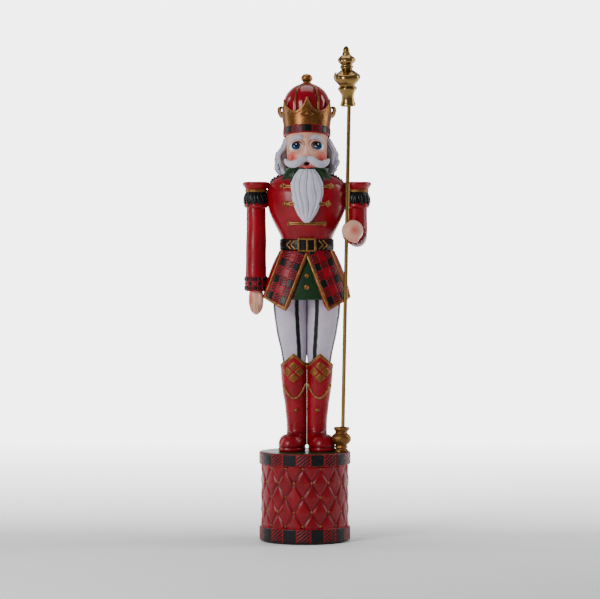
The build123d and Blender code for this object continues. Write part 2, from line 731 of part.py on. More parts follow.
def chest_front(out, height):
    """Y of the chest's surface at a distance from the midline and a height."""
    for lower, upper in zip(TORSO, TORSO[1:]):
        if lower[0] <= height <= upper[0]:
            share = (height - lower[0]) / (upper[0] - lower[0])
            half_width = lower[1] + share * (upper[1] - lower[1])
            half_depth = lower[2] + share * (upper[2] - lower[2])
            centre = lower[3] + share * (upper[3] - lower[3])
            return FIGURE_Y + centre - half_depth * math.sqrt(1 - (out / half_width) ** 2)
    return FIGURE_Y


# ---- Arms ----
def shoulder(side):
    return (FIGURE_X + side * SHOULDER_OFFSET, FIGURE_Y)


def arm_dowels():
    dowels = []
    for side in SIDES.values():
        inner = (FIGURE_X + side * ARM_DOWEL_INNER, FIGURE_Y, ARM_DOWEL_HEIGHT)
        outer = (FIGURE_X + side * ARM_DOWEL_OUTER, FIGURE_Y, ARM_DOWEL_HEIGHT)
        dowels.append(between(inner, outer, DOWEL_RADIUS))
    return dowels


def epaulette_layer(kind, side):
    """A padded red cap, the gold band under it, or the black fringe round the sleeve."""
    place = Pos(*shoulder(side), 0)
    if kind == "cap":
        cap = place * Pos(0, 0, CAP_BOTTOM) * extrude(Circle(CAP_RADIUS), CAP_TOP - CAP_BOTTOM)
        return fillet(cap.edges(), CAP_ROUND)
    if kind == "band":
        height = CAP_BOTTOM - CAP_BAND_BOTTOM
        return place * Pos(0, 0, CAP_BAND_BOTTOM) * extrude(Circle(CAP_BAND_RADIUS), height)
    flare = Cone(FRINGE_RADIUS, FRINGE_TOP_RADIUS, CAP_BAND_BOTTOM - FRINGE_BOTTOM, align=BOTTOM_ALIGN)
    return place * Pos(0, 0, FRINGE_BOTTOM) * flare


def make_arms(chest):
    parts = {}
    dowels = arm_dowels()
    parts["arm_dowels"] = grouped(dowels)
    right_place = shoulder(-1)
    sleeve = between((*right_place, RIGHT_CUFF_TOP), (*right_place, CAP_BAND_BOTTOM), SLEEVE_RADIUS)
    parts["right_sleeve"] = largest(cut(sleeve, chest, *dowels))
    cuff = between((*right_place, RIGHT_CUFF_BOTTOM), (*right_place, RIGHT_CUFF_TOP), CUFF_RADIUS)
    parts["right_cuff"] = fillet(cuff.edges(), CUFF_ROUND)
    faces = []
    for height, share in HAND:
        faces.append(oval(height, HAND_HALF_WIDTH * share, HAND_HALF_DEPTH * share, right_place))
    parts["right_hand"] = loft(faces)

    left_place = shoulder(1)
    elbow = Vector(left_place[0], left_place[1] + ELBOW_BACK, ELBOW_HEIGHT)
    reach = (FIST_CENTRE - elbow).normalized()
    wrist = FIST_CENTRE - reach * (FIST_RADIUS + WRIST_GAP)
    upper = between((*left_place, CAP_BAND_BOTTOM), elbow, SLEEVE_RADIUS)
    forearm = between(elbow, wrist - reach * LEFT_CUFF_LENGTH, SLEEVE_RADIUS)
    sleeve = upper + Pos(*elbow) * Sphere(SLEEVE_RADIUS) + forearm
    level_top = Pos(*left_place, CAP_BAND_BOTTOM) * Box(90, 90, 60, align=BOTTOM_ALIGN)
    parts["left_sleeve"] = largest(cut(sleeve, level_top, chest, *dowels))
    cuff = between(wrist - reach * LEFT_CUFF_LENGTH, wrist, CUFF_RADIUS)
    parts["left_cuff"] = fillet(cuff.edges(), CUFF_ROUND)
    fist = Pos(*FIST_CENTRE) * Sphere(FIST_RADIUS)
    wrist_stub = between(wrist, FIST_CENTRE, WRIST_RADIUS)
    bore = between(on_staff(300), on_staff(500), ROD_RADIUS + HAND_CLEARANCE)
    parts["left_hand"] = largest(cut(fist + wrist_stub, bore))
    for kind in ("cap", "band", "fringe"):
        pair = []
        for name, side in SIDES.items():
            layer = epaulette_layer(kind, side)
            pair.append(largest(cut(layer, chest, parts[name + "_sleeve"], *dowels)))
        parts["epaulette_" + kind + "s"] = grouped(pair)
    return parts


# ---- Head ----
def head_core(grow=0.0):
    return tilt(body_loft(HEAD, grow))


def on_face(side, out, forward, height):
    return (FIGURE_X + side * out, FIGURE_Y - forward, height)


def make_head(chest):
    """The head casting with its nose and lower lip, and what is set into it or glued on it."""
    parts = {}
    neck = (FIGURE_X, FIGURE_Y)
    dowel = between((*neck, NECK_DOWEL_BOTTOM), (*neck, NECK_DOWEL_TOP), NECK_DOWEL_RADIUS)
    parts["neck_dowel"] = dowel
    core = head_core(GLUE)
    eyes = []
    brows = []
    halves = []
    for side in SIDES.values():
        place = Pos(FIGURE_X + side * EYE_OFFSET, FIGURE_Y - EYE_FORWARD, EYE_HEIGHT)
        eyes.append(tilt(place * Rot(90, 0, side * EYE_TURN) * Sphere(EYE_RADIUS)))
        brow_ends = [on_face(side, *end) for end in BROW]
        brows.append(largest(cut(tilt(capsule(*brow_ends, BROW_RADIUS)), core, *eyes)))
        root, low, tip = [on_face(side, *point) for point in MOUSTACHE]
        half = capsule(root, low, MOUSTACHE_RADIUS) + capsule(low, tip, MOUSTACHE_TIP_RADIUS)
        halves.append(tilt(half))
    parts["eyes"] = grouped(eyes)
    parts["eyebrows"] = grouped(brows)
    nose = tilt(Pos(*on_face(1, *NOSE)) * Sphere(NOSE_RADIUS))
    lip = tilt(Pos(*on_face(1, *LIP)) * Sphere(LIP_RADIUS))
    parts["moustache"] = largest(cut(halves[0] + halves[1], core, nose))
    parts["head"] = largest(cut(head_core() + nose + lip, chest, dowel, parts["moustache"], *eyes))
    beard = body_loft(BEARD)
    parts["beard"] = largest(cut(beard, core, lip, chest, parts["moustache"]))
    collar = body_loft(COLLAR, COLLAR_THICKNESS) - body_loft(COLLAR)
    parts["collar"] = largest(cut(collar, core, lip, chest, parts["beard"], parts["moustache"]))
    align = (Align.CENTER, Align.MAX, Align.CENTER)
    face_side = Pos(FIGURE_X, FIGURE_Y + HAIR_FRONT, NECK_HEIGHT) * Box(200, 100, 200, align=align)
    hair = tilt(body_loft(HAIR)) - face_side
    parts["hair"] = largest(cut(hair, core, chest, parts["collar"]))
    return parts


def make_hat():
    parts = {}
    centre = Pos(FIGURE_X, FIGURE_Y, 0)
    band = between((FIGURE_X, FIGURE_Y, BAND_BOTTOM), (FIGURE_X, FIGURE_Y, BAND_TOP), BAND_RADIUS)
    parts["hat_band"] = tilt(band)
    height = CROWN_TOP - BAND_TOP
    outer = Cone(CROWN_LOW_RADIUS, CROWN_HIGH_RADIUS, height, align=BOTTOM_ALIGN)
    inner_low = CROWN_LOW_RADIUS - CROWN_WALL
    inner = Cone(inner_low, CROWN_HIGH_RADIUS - CROWN_WALL, height, align=BOTTOM_ALIGN)
    crown = centre * Pos(0, 0, BAND_TOP) * (outer - inner)
    pitch = 360 / CROWN_POINTS
    scoop_radius = CROWN_HIGH_RADIUS * math.sin(math.radians(pitch / 2))
    for step in range(CROWN_POINTS):
        turn = Rot(0, 0, -90 + pitch * (step + 0.5))
        scoop = extrude(Plane.YZ * Ellipse(scoop_radius, CROWN_TOP - CROWN_DIP), 2 * CROWN_HIGH_RADIUS)
        crown = crown - centre * turn * Pos(0, 0, CROWN_TOP) * scoop
    parts["crown_ring"] = tilt(largest(crown))
    dome = Pos(FIGURE_X, FIGURE_Y, DOME_CENTRE) * Sphere(DOME_RADIUS)
    lining = Cone(inner_low - GLUE, DOME_RADIUS, DOME_CENTRE - BAND_TOP, align=BOTTOM_ALIGN)
    dome = dome + centre * Pos(0, 0, BAND_TOP) * lining
    shell = dome - Pos(FIGURE_X, FIGURE_Y, DOME_CENTRE) * Sphere(DOME_RADIUS - WALL)
    parts["crown_dome"] = tilt(largest(shell))
    knob_foot = (FIGURE_X, FIGURE_Y, KNOB_BOTTOM - 2 * RIB_RADIUS)
    under_knob = between(knob_foot, (FIGURE_X, FIGURE_Y, KNOB_BOTTOM + KNOB_HEIGHT), KNOB_OUTLINE[0][1])
    ribs = []
    for step in range(CROWN_POINTS):
        turn = Rot(0, 0, -90 + pitch * (step + 0.5))
        arc = turn * Pos(0, 0, DOME_CENTRE) * (Plane.XZ * Torus(DOME_RADIUS, RIB_RADIUS))
        align = (Align.MIN, Align.CENTER, Align.MIN)
        keep = turn * Pos(0, 0, DOME_CENTRE) * Box(2 * DOME_RADIUS, DOME_RADIUS, 2 * DOME_RADIUS, align=align)
        rib = centre * (arc & keep)
        ribs.append(tilt(largest(cut(rib, dome, crown, under_knob))))
    parts["crown_ribs"] = grouped(ribs)
    knob = turned(KNOB_OUTLINE, (FIGURE_X, FIGURE_Y, KNOB_BOTTOM))
    parts["crown_knob"] = largest(cut(tilt(knob), tilt(dome), *ribs))
    medallions = []
    for step in range(CROWN_POINTS):
        turn = Rot(0, 0, -90 + pitch * step)
        foot = (CROWN_LOW_RADIUS - CROWN_WALL, 0, MEDALLION_MIDDLE)
        plane = Plane(foot, x_dir=(0, 1, 0), z_dir=(1, 0, MEDALLION_LEAN))
        half_width = MEDALLION_WIDTH / 2
        half_height = MEDALLION_HEIGHT / 2
        corners = ((-half_width, 0), (0, half_height), (half_width, 0), (0, -half_height))
        plate = plane * extrude(make_face([Polyline(*corners, close=True)]), MEDALLION_THICKNESS)
        boss = Pos(BOSS_OUT, 0, MEDALLION_MIDDLE) * Sphere(BOSS_RADIUS)
        solid = centre * turn * (plate + boss)
        full = centre * Pos(0, 0, BAND_TOP) * outer
        medallions.append(tilt(largest(cut(solid, full))))
    for side in SIDES.values():
        low, high = [(FIGURE_X + side * out, FIGURE_Y, height) for out, height in LUG]
        full = centre * Pos(0, 0, BAND_TOP) * outer
        medallions.append(tilt(largest(cut(capsule(low, high, LUG_RADIUS), full))))
    parts["crown_medallions"] = grouped(medallions)
    return parts


def make_shoulder_trim(parts):
    """A black ruffle that runs along the back of both shoulders, behind the collar."""
    ruffle = torso_outer(RUFFLE_PROUD) - torso_outer(GLUE)
    slab = Pos(FIGURE_X, FIGURE_Y + RUFFLE_BACK, RUFFLE_MIDDLE) * Box(*RUFFLE_SIZE)
    ruffle = cut(ruffle & slab, parts["collar"], parts["hair"], parts["head"])
    return cut(ruffle, parts["epaulette_caps"])


# ---- Staff ----
def pot_centre():
    return (STAFF_FOOT.X + POT_SHIFT, STAFF_FOOT.Y, DRUM_HEIGHT)


def make_staff():
    parts = {}
    centre = pot_centre()
    pot = turned(POT, centre)
    mouth_bottom = DRUM_HEIGHT + POT[-1][0] - POT_MOUTH_DEPTH
    mouth = Pos(centre[0], centre[1], mouth_bottom) * extrude(Circle(POT_MOUTH_RADIUS), POT[-1][0])
    bore = between(STAFF_FOOT, on_staff(2 * POT[-1][0]), ROD_RADIUS + RUNNING_CLEARANCE)
    parts["staff_socket"] = cut(pot, mouth, bore)
    bottom = on_staff(SEAT_GAP)
    seat = between(bottom, on_staff(FOOT_PLUG_LENGTH), ROD_RADIUS)
    stem = between(bottom, on_staff(FOOT_PLUG_LENGTH + PLUG_STEM_LENGTH), PLUG_STEM_RADIUS)
    parts["staff_foot_plug"] = seat + stem
    tube = between(on_staff(FOOT_PLUG_LENGTH + SEAT_GAP), on_staff(STAFF_SHAFT), ROD_RADIUS)
    tube_bore = between(on_staff(0), on_staff(STAFF_SHAFT), PLUG_STEM_RADIUS + RUNNING_CLEARANCE)
    finial_foot = on_staff(STAFF_SHAFT - FINIAL_SOCKET) + Vector(FINIAL_SHIFT, 0, 0)
    finial_plane = Plane(finial_foot, x_dir=(1, 0, 0), z_dir=STAFF_DIRECTION)
    finial = finial_plane * Rot(0, -FINIAL_TILT, 0) * turned(FINIAL)
    parts["staff_rod"] = cut(tube, tube_bore)
    bore = between(on_staff(STAFF_SHAFT - 2 * FINIAL_SOCKET), on_staff(STAFF_SHAFT), ROD_RADIUS)
    parts["staff_finial"] = largest(finial - bore)
    return parts


def build():
    parts = make_drum()
    parts.update(make_rod_fasteners())
    parts.update(make_staff())
    parts.update(make_legs(turned(POT, pot_centre())))
    parts.update(make_torso(arm_dowels()))
    chest = torso_outer(GLUE)
    parts.update(make_arms(chest))
    parts["torso"] = cut(parts["torso"], parts["arm_dowels"])
    arm = between((*shoulder(-1), COAT_LOWEST), (*shoulder(-1), BELT_TOP), CUFF_RADIUS + 3 * GLUE)
    trousers_outer = leg_loft(TROUSER_LEG, 1, GLUE) + leg_loft(TROUSER_LEG, -1, GLUE)
    parts.update(make_skirt(trousers_outer, arm))
    parts.update(make_head(chest))
    parts["torso"] = cut(parts["torso"], parts["neck_dowel"])
    parts.update(make_braid(parts["beard"]))
    parts.update(make_hat())
    parts["head"] = largest(cut(parts["head"], parts["hat_band"]))
    parts["hair"] = largest(cut(parts["hair"], parts["hat_band"]))
    parts["shoulder_ruffle"] = make_shoulder_trim(parts)
    return parts


def main():
    os.makedirs("parts", exist_ok=True)
    for name, shape in build().items():
        export_step(shape, os.path.join("parts", name + ".step"))


if __name__ == "__main__":
    main()
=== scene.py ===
"""The painted nutcracker soldier on its drum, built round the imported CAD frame.

Shapes are worked out in millimetres in the row frame and scaled to metres when a mesh is made.
"left" and "right" are the figure's own: its left hand, with the staff, is on the +X side.
"""
import math

import bmesh
import bpy
import numpy as np
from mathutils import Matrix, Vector


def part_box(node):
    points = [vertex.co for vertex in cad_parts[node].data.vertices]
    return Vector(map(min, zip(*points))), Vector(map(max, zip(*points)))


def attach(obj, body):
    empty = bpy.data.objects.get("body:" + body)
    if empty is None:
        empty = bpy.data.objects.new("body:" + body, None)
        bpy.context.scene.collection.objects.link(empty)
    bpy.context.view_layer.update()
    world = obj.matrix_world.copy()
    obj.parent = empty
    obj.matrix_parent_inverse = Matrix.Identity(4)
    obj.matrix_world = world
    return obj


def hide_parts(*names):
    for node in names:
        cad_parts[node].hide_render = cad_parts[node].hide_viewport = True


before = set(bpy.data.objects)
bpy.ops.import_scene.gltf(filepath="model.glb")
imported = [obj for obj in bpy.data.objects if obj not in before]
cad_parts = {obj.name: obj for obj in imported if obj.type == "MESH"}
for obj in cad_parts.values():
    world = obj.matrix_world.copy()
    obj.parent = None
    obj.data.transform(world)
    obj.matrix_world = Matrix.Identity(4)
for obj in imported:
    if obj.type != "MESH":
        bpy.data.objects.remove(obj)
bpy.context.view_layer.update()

MM = 0.001
RNG = np.random.default_rng(7)


# ---------------------------------------------------------------- anchors from the frame
def box_mm(node):
    low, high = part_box(node)
    return np.array(low) / MM, np.array(high) / MM


TORSO_LOW, TORSO_HIGH = box_mm("torso")
FIGURE_X = (TORSO_LOW[0] + TORSO_HIGH[0]) / 2
FIGURE_Y = (box_mm("leg_rods")[0][1] + box_mm("leg_rods")[1][1]) / 2
WAIST = TORSO_LOW[2]
DRUM_TOP = box_mm("drum_top_plate")[1][2]
SHOULDER = (box_mm("epaulette_caps")[1][0] - box_mm("epaulette_caps")[0][0]) / 2
CAP_RADIUS = (box_mm("epaulette_caps")[1][1] - box_mm("epaulette_caps")[0][1]) / 2
ARM_X = SHOULDER - CAP_RADIUS
NECK = WAIST + 162.0
HEAD_TILT = math.radians(11.0)
SIDES = {"left": 1, "right": -1}


# ---------------------------------------------------------------- small maths
TURN = 2 * math.pi
UPRIGHT = (0, 0, 1)
FORWARD = (0, -1, 0)


def turns(count):
    """count angles evenly round a full turn."""
    return np.linspace(0, TURN, count, endpoint=False)


def lerp(a, b, t):
    return a + (b - a) * t


def smooth(low, high, x):
    """0 below low, 1 above high, and a smooth step between."""
    t = np.clip((np.asarray(x, float) - low) / (high - low), 0, 1)
    return t * t * (3 - 2 * t)


def bell(away, width):
    """1 where away is 0, falling off smoothly over about width on both sides."""
    return np.exp(-((away / width) ** 2))


def table(rows, at, column=1):
    """Smooth (Catmull-Rom) reading of a table of rows whose first value is the place."""
    rows = np.array(rows, float)
    order = np.argsort(rows[:, 0])
    places = rows[order, 0]
    values = rows[order, column]
    at = np.clip(np.asarray(at, float), places[0], places[-1])
    index = np.clip(np.searchsorted(places, at, side="right") - 1, 0, len(places) - 2)
    width = places[index + 1] - places[index]
    t = (at - places[index]) / width
    slopes = np.gradient(values, places)
    start = values[index]
    end = values[index + 1]
    slope_in = slopes[index] * width
    slope_out = slopes[index + 1] * width
    return (
        (2 * t**3 - 3 * t**2 + 1) * start
        + (t**3 - 2 * t**2 + t) * slope_in
        + (3 * t**2 - 2 * t**3) * end
        + (t**3 - t**2) * slope_out
    )


def evenly(points, count, endpoint=True):
    """count points evenly spaced along the straight pieces between points."""
    run = np.r_[0, np.cumsum(np.linalg.norm(np.diff(points, axis=0), axis=1))]
    even = np.linspace(0, run[-1], count, endpoint=endpoint)
    return np.stack([np.interp(even, run, points[:, k]) for k in range(points.shape[1])], axis=1)


def spline(points, count):
    """count points evenly spaced along a smooth curve through points."""
    points = np.array(points, float)
    knots = np.r_[0, np.cumsum(np.linalg.norm(np.diff(points, axis=0), axis=1))]
    fine = np.linspace(0, knots[-1], 12 * len(points))
    curve = np.stack([table(np.c_[knots, points[:, k]], fine) for k in range(points.shape[1])], axis=1)
    return evenly(curve, count)


def unit(vectors):
    vectors = np.asarray(vectors, float)
    length = np.linalg.norm(vectors, axis=-1, keepdims=True)
    return vectors / np.maximum(length, 1e-9)


def waves(points, scale, seed=0):
    """A soft three-dimensional wobble between -1 and 1, with features about scale mm long."""
    points = np.asarray(points, float) / scale
    x, y, z = points[..., 0], points[..., 1], points[..., 2]
    s = 1.7 * seed
    first = np.sin(1.9 * x + 2.3 * y + s) * np.cos(2.1 * z - 1.3 * x + s)
    second = np.sin(3.1 * z + 1.1 * y - s) * np.cos(2.7 * y + 0.7 * x + 2 * s)
    third = np.sin(5.3 * x - 4.1 * z + 3 * s) * np.cos(4.7 * y + 3.7 * z)
    return (first + second + 0.5 * third) / 2.5


def tilted(points):
    """Lean head and hat points back about the neck."""
    points = np.array(points, float)
    y = points[..., 1] - FIGURE_Y
    z = points[..., 2] - NECK
    out = points.copy()
    out[..., 1] = FIGURE_Y + y * math.cos(HEAD_TILT) + z * math.sin(HEAD_TILT)
    out[..., 2] = NECK - y * math.sin(HEAD_TILT) + z * math.cos(HEAD_TILT)
    return out


# ---------------------------------------------------------------- mesh makers
def shade_smooth(mesh):
    mesh.polygons.foreach_set("use_smooth", [True] * len(mesh.polygons))


def make_object(name, verts, faces, masks=None):
    mesh = bpy.data.meshes.new(name)
    mesh.from_pydata((np.asarray(verts, float) * MM).tolist(), [], [tuple(map(int, f)) for f in faces])
    for key, values in (masks or {}).items():
        layer = mesh.attributes.new(key, "FLOAT", "POINT")
        layer.data.foreach_set("value", np.asarray(values, np.float32).ravel())
    shade_smooth(mesh)
    mesh.validate()
    mesh.update()
    obj = bpy.data.objects.new(name, mesh)
    bpy.context.scene.collection.objects.link(obj)
    return obj


def grid_faces(rows, columns, wrap_rows=False, wrap_columns=False, start=0):
    r = np.arange(rows if wrap_rows else rows - 1)
    c = np.arange(columns if wrap_columns else columns - 1)
    r, c = np.meshgrid(r, c, indexing="ij")
    r2 = (r + 1) % rows
    c2 = (c + 1) % columns
    quads = np.stack([r * columns + c, r * columns + c2, r2 * columns + c2, r2 * columns + c], axis=-1)
    return (quads.reshape(-1, 4) + start).tolist()


class Build:
    """Collects vertices, faces and masks of one piece, then makes its object."""

    def __init__(self):
        self.verts = []
        self.faces = []
        self.masks = {}
        self.count = 0

    def add(self, points, faces, masks=None):
        points = np.asarray(points, float).reshape(-1, 3)
        for key in {**self.masks, **(masks or {})}:
            column = self.masks.setdefault(key, np.zeros(self.count))
            extra = np.asarray((masks or {}).get(key, np.zeros(len(points))), float)
            extra = np.broadcast_to(extra.ravel() if extra.ndim else extra, (len(points),))
            self.masks[key] = np.r_[column, extra]
        self.faces += [[i + self.count for i in face] for face in faces]
        self.verts.append(points)
        self.count += len(points)

    def grid(self, points, wrap_rows=False, wrap_columns=False, cap=False, masks=None):
        """A sheet of quads; cap closes the first and last row with fans round their middles."""
        points = np.asarray(points, float)
        rows, columns = points.shape[:2]
        faces = grid_faces(rows, columns, wrap_rows, wrap_columns)
        flat = points.reshape(-1, 3)
        masks = {key: np.broadcast_to(value, (rows, columns)).ravel() for key, value in (masks or {}).items()}
        if cap:
            ends = np.stack([points[0].mean(0), points[-1].mean(0)])
            first = rows * columns
            for k in range(columns):
                faces.append([first, (k + 1) % columns, k])
                last = (rows - 1) * columns
                faces.append([first + 1, last + k, last + (k + 1) % columns])
            flat = np.r_[flat, ends]
            masks = {key: np.r_[value, value[0], value[-1]] for key, value in masks.items()}
        self.add(flat, faces, masks)
        return self

    def closed(self, points, masks=None):
        """A solid whose rows are rings, closed at the first and last ring."""
        return self.grid(points, wrap_columns=True, cap=True, masks=masks)

    def ball(self, centre, radii, rows=24, columns=32):
        return self.closed(ellipsoid_points(centre, radii, rows, columns))

    def shell(self, outer, inner, wrap_columns=False, masks=None):
        """Two matching sheets joined round their edges into one closed skin."""
        outer = np.asarray(outer, float)
        inner = np.asarray(inner, float)
        rows, columns = outer.shape[:2]
        size = rows * columns
        faces = grid_faces(rows, columns, False, wrap_columns)
        faces += [face[::-1] for face in grid_faces(rows, columns, False, wrap_columns, size)]
        last = (rows - 1) * columns
        for k in range(columns if wrap_columns else columns - 1):
            n = (k + 1) % columns
            faces.append([n, k, size + k, size + n])
            faces.append([last + k, last + n, size + last + n, size + last + k])
        if not wrap_columns:
            for k in range(rows - 1):
                a = k * columns
                b = a + columns
                faces.append([a, b, size + b, size + a])
                a += columns - 1
                b += columns - 1
                faces.append([b, a, size + a, size + b])
        both = {key: np.r_[np.ravel(value), np.ravel(value)] for key, value in (masks or {}).items()}
        self.add(np.r_[outer.reshape(-1, 3), inner.reshape(-1, 3)], faces, both)
        return self

    def done(self, name, material, body="root", replaces=()):
        obj = make_object(name, np.concatenate(self.verts), self.faces, self.masks)
        finish_piece(obj, material, body, replaces)


def finish_piece(obj, material, body="root", replaces=()):
    """Fix the normals, paint the piece with its material, which carries the slot, and give it its body and
    replaced CAD nodes.
    """
    fix_normals(obj)
    obj.data.materials.clear()
    obj.data.materials.append(material)
    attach(obj, body)
    if replaces:
        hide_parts(*replaces)


def fix_normals(obj):
    work = bmesh.new()
    work.from_mesh(obj.data)
    bmesh.ops.recalc_face_normals(work, faces=work.faces)
    work.to_mesh(obj.data)
    work.free()


def sweep(build, path, width, height, up=(0, 0, 1), section=12, squareness=1.0, flutes=None, closed=False):
    """A round or squarish bar along path, as a rod or a loop. width is across, height is along up."""
    path = np.asarray(path, float)
    count = len(path)
    along = unit(np.roll(path, -1, 0) - np.roll(path, 1, 0)) if closed else unit(np.gradient(path, axis=0))
    up = np.broadcast_to(np.asarray(up, float), path.shape)
    across = unit(np.cross(along, up))
    rise = np.cross(across, along)
    width = np.broadcast_to(width, (count,)) / 2
    height = np.broadcast_to(height, (count,)) / 2
    turn = np.broadcast_to(turns(section)[None, :], (count, section))
    c, s = np.cos(turn), np.sin(turn)
    c = np.sign(c) * np.abs(c) ** squareness
    s = np.sign(s) * np.abs(s) ** squareness
    bulge = np.ones_like(c) if flutes is None else flutes(turn, np.linspace(0, 1, count)[:, None])
    points = (
        path[:, None, :]
        + across[:, None, :] * (c * width[:, None] * bulge)[..., None]
        + rise[:, None, :] * (s * height[:, None] * bulge)[..., None]
    )
    # The grooves of fluted sweeps are marked for darkening: painted shade in the grooves.
    masks = {} if flutes is None else {"shade_and_wash": np.clip((1 - bulge) * 5, 0, 1)}
    build.grid(points, wrap_rows=closed, wrap_columns=True, cap=not closed, masks=masks)


def turned(build, outline, centre, axis, steps, columns, wobble):
    """A solid turned about an axis from (distance, radius) pairs; wobble changes the radius."""
    outline = np.array(outline, float)
    curve = spline(outline, steps)
    axis = unit(axis)
    side = unit(np.cross(axis, (0.0, 1.0, 0.0)))
    front = np.cross(axis, side)
    turn = turns(columns)
    distance = curve[:, 0][:, None]
    radius = np.maximum(curve[:, 1], 0.05)[:, None] * np.ones_like(turn)[None, :]
    radius = radius + wobble(distance, turn[None, :])
    ring = np.cos(turn)[:, None] * side + np.sin(turn)[:, None] * front
    build.closed(np.asarray(centre, float) + distance[..., None] * axis + radius[..., None] * ring[None])


def ellipsoid_points(centre, radii, rows=24, columns=32):
    v = np.linspace(-math.pi / 2 + 0.05, math.pi / 2 - 0.05, rows)[:, None]
    u = turns(columns)[None, :]
    unit_ball = np.stack([np.cos(v) * np.cos(u), np.cos(v) * np.sin(u), np.sin(v) * np.ones_like(u)], axis=-1)
    return np.asarray(centre, float) + unit_ball * np.asarray(radii, float)


def remeshed(name, build, voxel=1.0, rounds=4):
    """The union of a build's overlapping closed forms, smoothed: returns its object."""
    obj = make_object(name, np.concatenate(build.verts), build.faces)
    fix_normals(obj)
    remesh = obj.modifiers.new("union", "REMESH")
    remesh.mode = "VOXEL"
    remesh.voxel_size = voxel * MM
    relax = obj.modifiers.new("relax", "SMOOTH")
    relax.iterations = rounds
    relax.factor = 0.5
    apply_modifiers(obj)
    shade_smooth(obj.data)
    return obj


def apply_modifiers(obj):
    graph = bpy.context.evaluated_depsgraph_get()
    fresh = bpy.data.meshes.new_from_object(obj.evaluated_get(graph))
    obj.modifiers.clear()
    obj.data = fresh


def coords(obj):
    values = np.zeros(len(obj.data.vertices) * 3)
    obj.data.vertices.foreach_get("co", values)
    return values.reshape(-1, 3) / MM


def normals(obj):
    values = np.zeros(len(obj.data.vertices) * 3)
    obj.data.vertices.foreach_get("normal", values)
    return values.reshape(-1, 3)


def set_coords(obj, points):
    obj.data.vertices.foreach_set("co", (np.asarray(points) * MM).ravel())
    obj.data.update()


def set_mask(obj, key, values):
    layer = obj.data.attributes.get(key) or obj.data.attributes.new(key, "FLOAT", "POINT")
    layer.data.foreach_set("value", np.asarray(values, np.float32).ravel())


def oval(turn, half_width, half_depth, power=2.0):
    """x and y on an ellipse; a power above 2 makes it squarer."""
    c, s = np.cos(turn), np.sin(turn)
    x = half_width * np.sign(c) * np.abs(c) ** (2 / power)
    y = half_depth * np.sign(s) * np.abs(s) ** (2 / power)
    return x, y


def body_grid(rows, heights, angles, grow=0.0):
    """A lofted form about the figure's axis. Rows hold height, half width, half depth and depth centre."""
    heights = np.asarray(heights, float)
    depth = table(rows, heights, 3)
    half_width = table(rows, heights, 1) + grow
    half_depth = table(rows, heights, 2) + grow
    x, y = oval(angles[None, :], half_width[:, None], half_depth[:, None])
    z = np.broadcast_to(heights[:, None], x.shape)
    return np.stack([FIGURE_X + x, FIGURE_Y + depth[:, None] + y, z], axis=-1)


def grid_normals(points, wrap_columns=True):
    """Outward unit normals of a grid that goes round an upright axis."""
    if wrap_columns:
        wide = np.concatenate([points[:, -1:], points, points[:, :1]], axis=1)
        across = np.gradient(wide, axis=1)[:, 1:-1]
    else:
        across = np.gradient(points, axis=1)
    up = np.gradient(points, axis=0)
    normal = unit(np.cross(across, up))
    centre = points.mean(axis=(0, 1))
    outward = np.sum(normal[..., :2] * (points - centre)[..., :2])
    return normal if outward > 0 else -normal


def raised(points, height, wrap_columns=True):
    return points + grid_normals(points, wrap_columns) * np.asarray(height)[..., None]


def placed(local, origin, axis):
    """Local points, whose z runs along axis, put at origin."""
    axis = unit(axis)
    side = unit(np.cross((0.0, -1.0, 0.0), axis)) if abs(axis[1]) < 0.9 else np.array([1.0, 0.0, 0.0])
    side = unit(side - axis * (side @ axis))
    other = np.cross(axis, side)
    return np.asarray(origin) + local[..., 0:1] * side + local[..., 1:2] * other + local[..., 2:3] * axis


# ---------------------------------------------------------------- materials
def srgb(red, green, blue):
    """A display colour, 0 to 255, as the linear colour that a socket takes."""
    values = [v / 255 for v in (red, green, blue)]
    linear = [v / 12.92 if v <= 0.04045 else ((v + 0.055) / 1.055) ** 2.4 for v in values]
    return (*linear, 1.0)


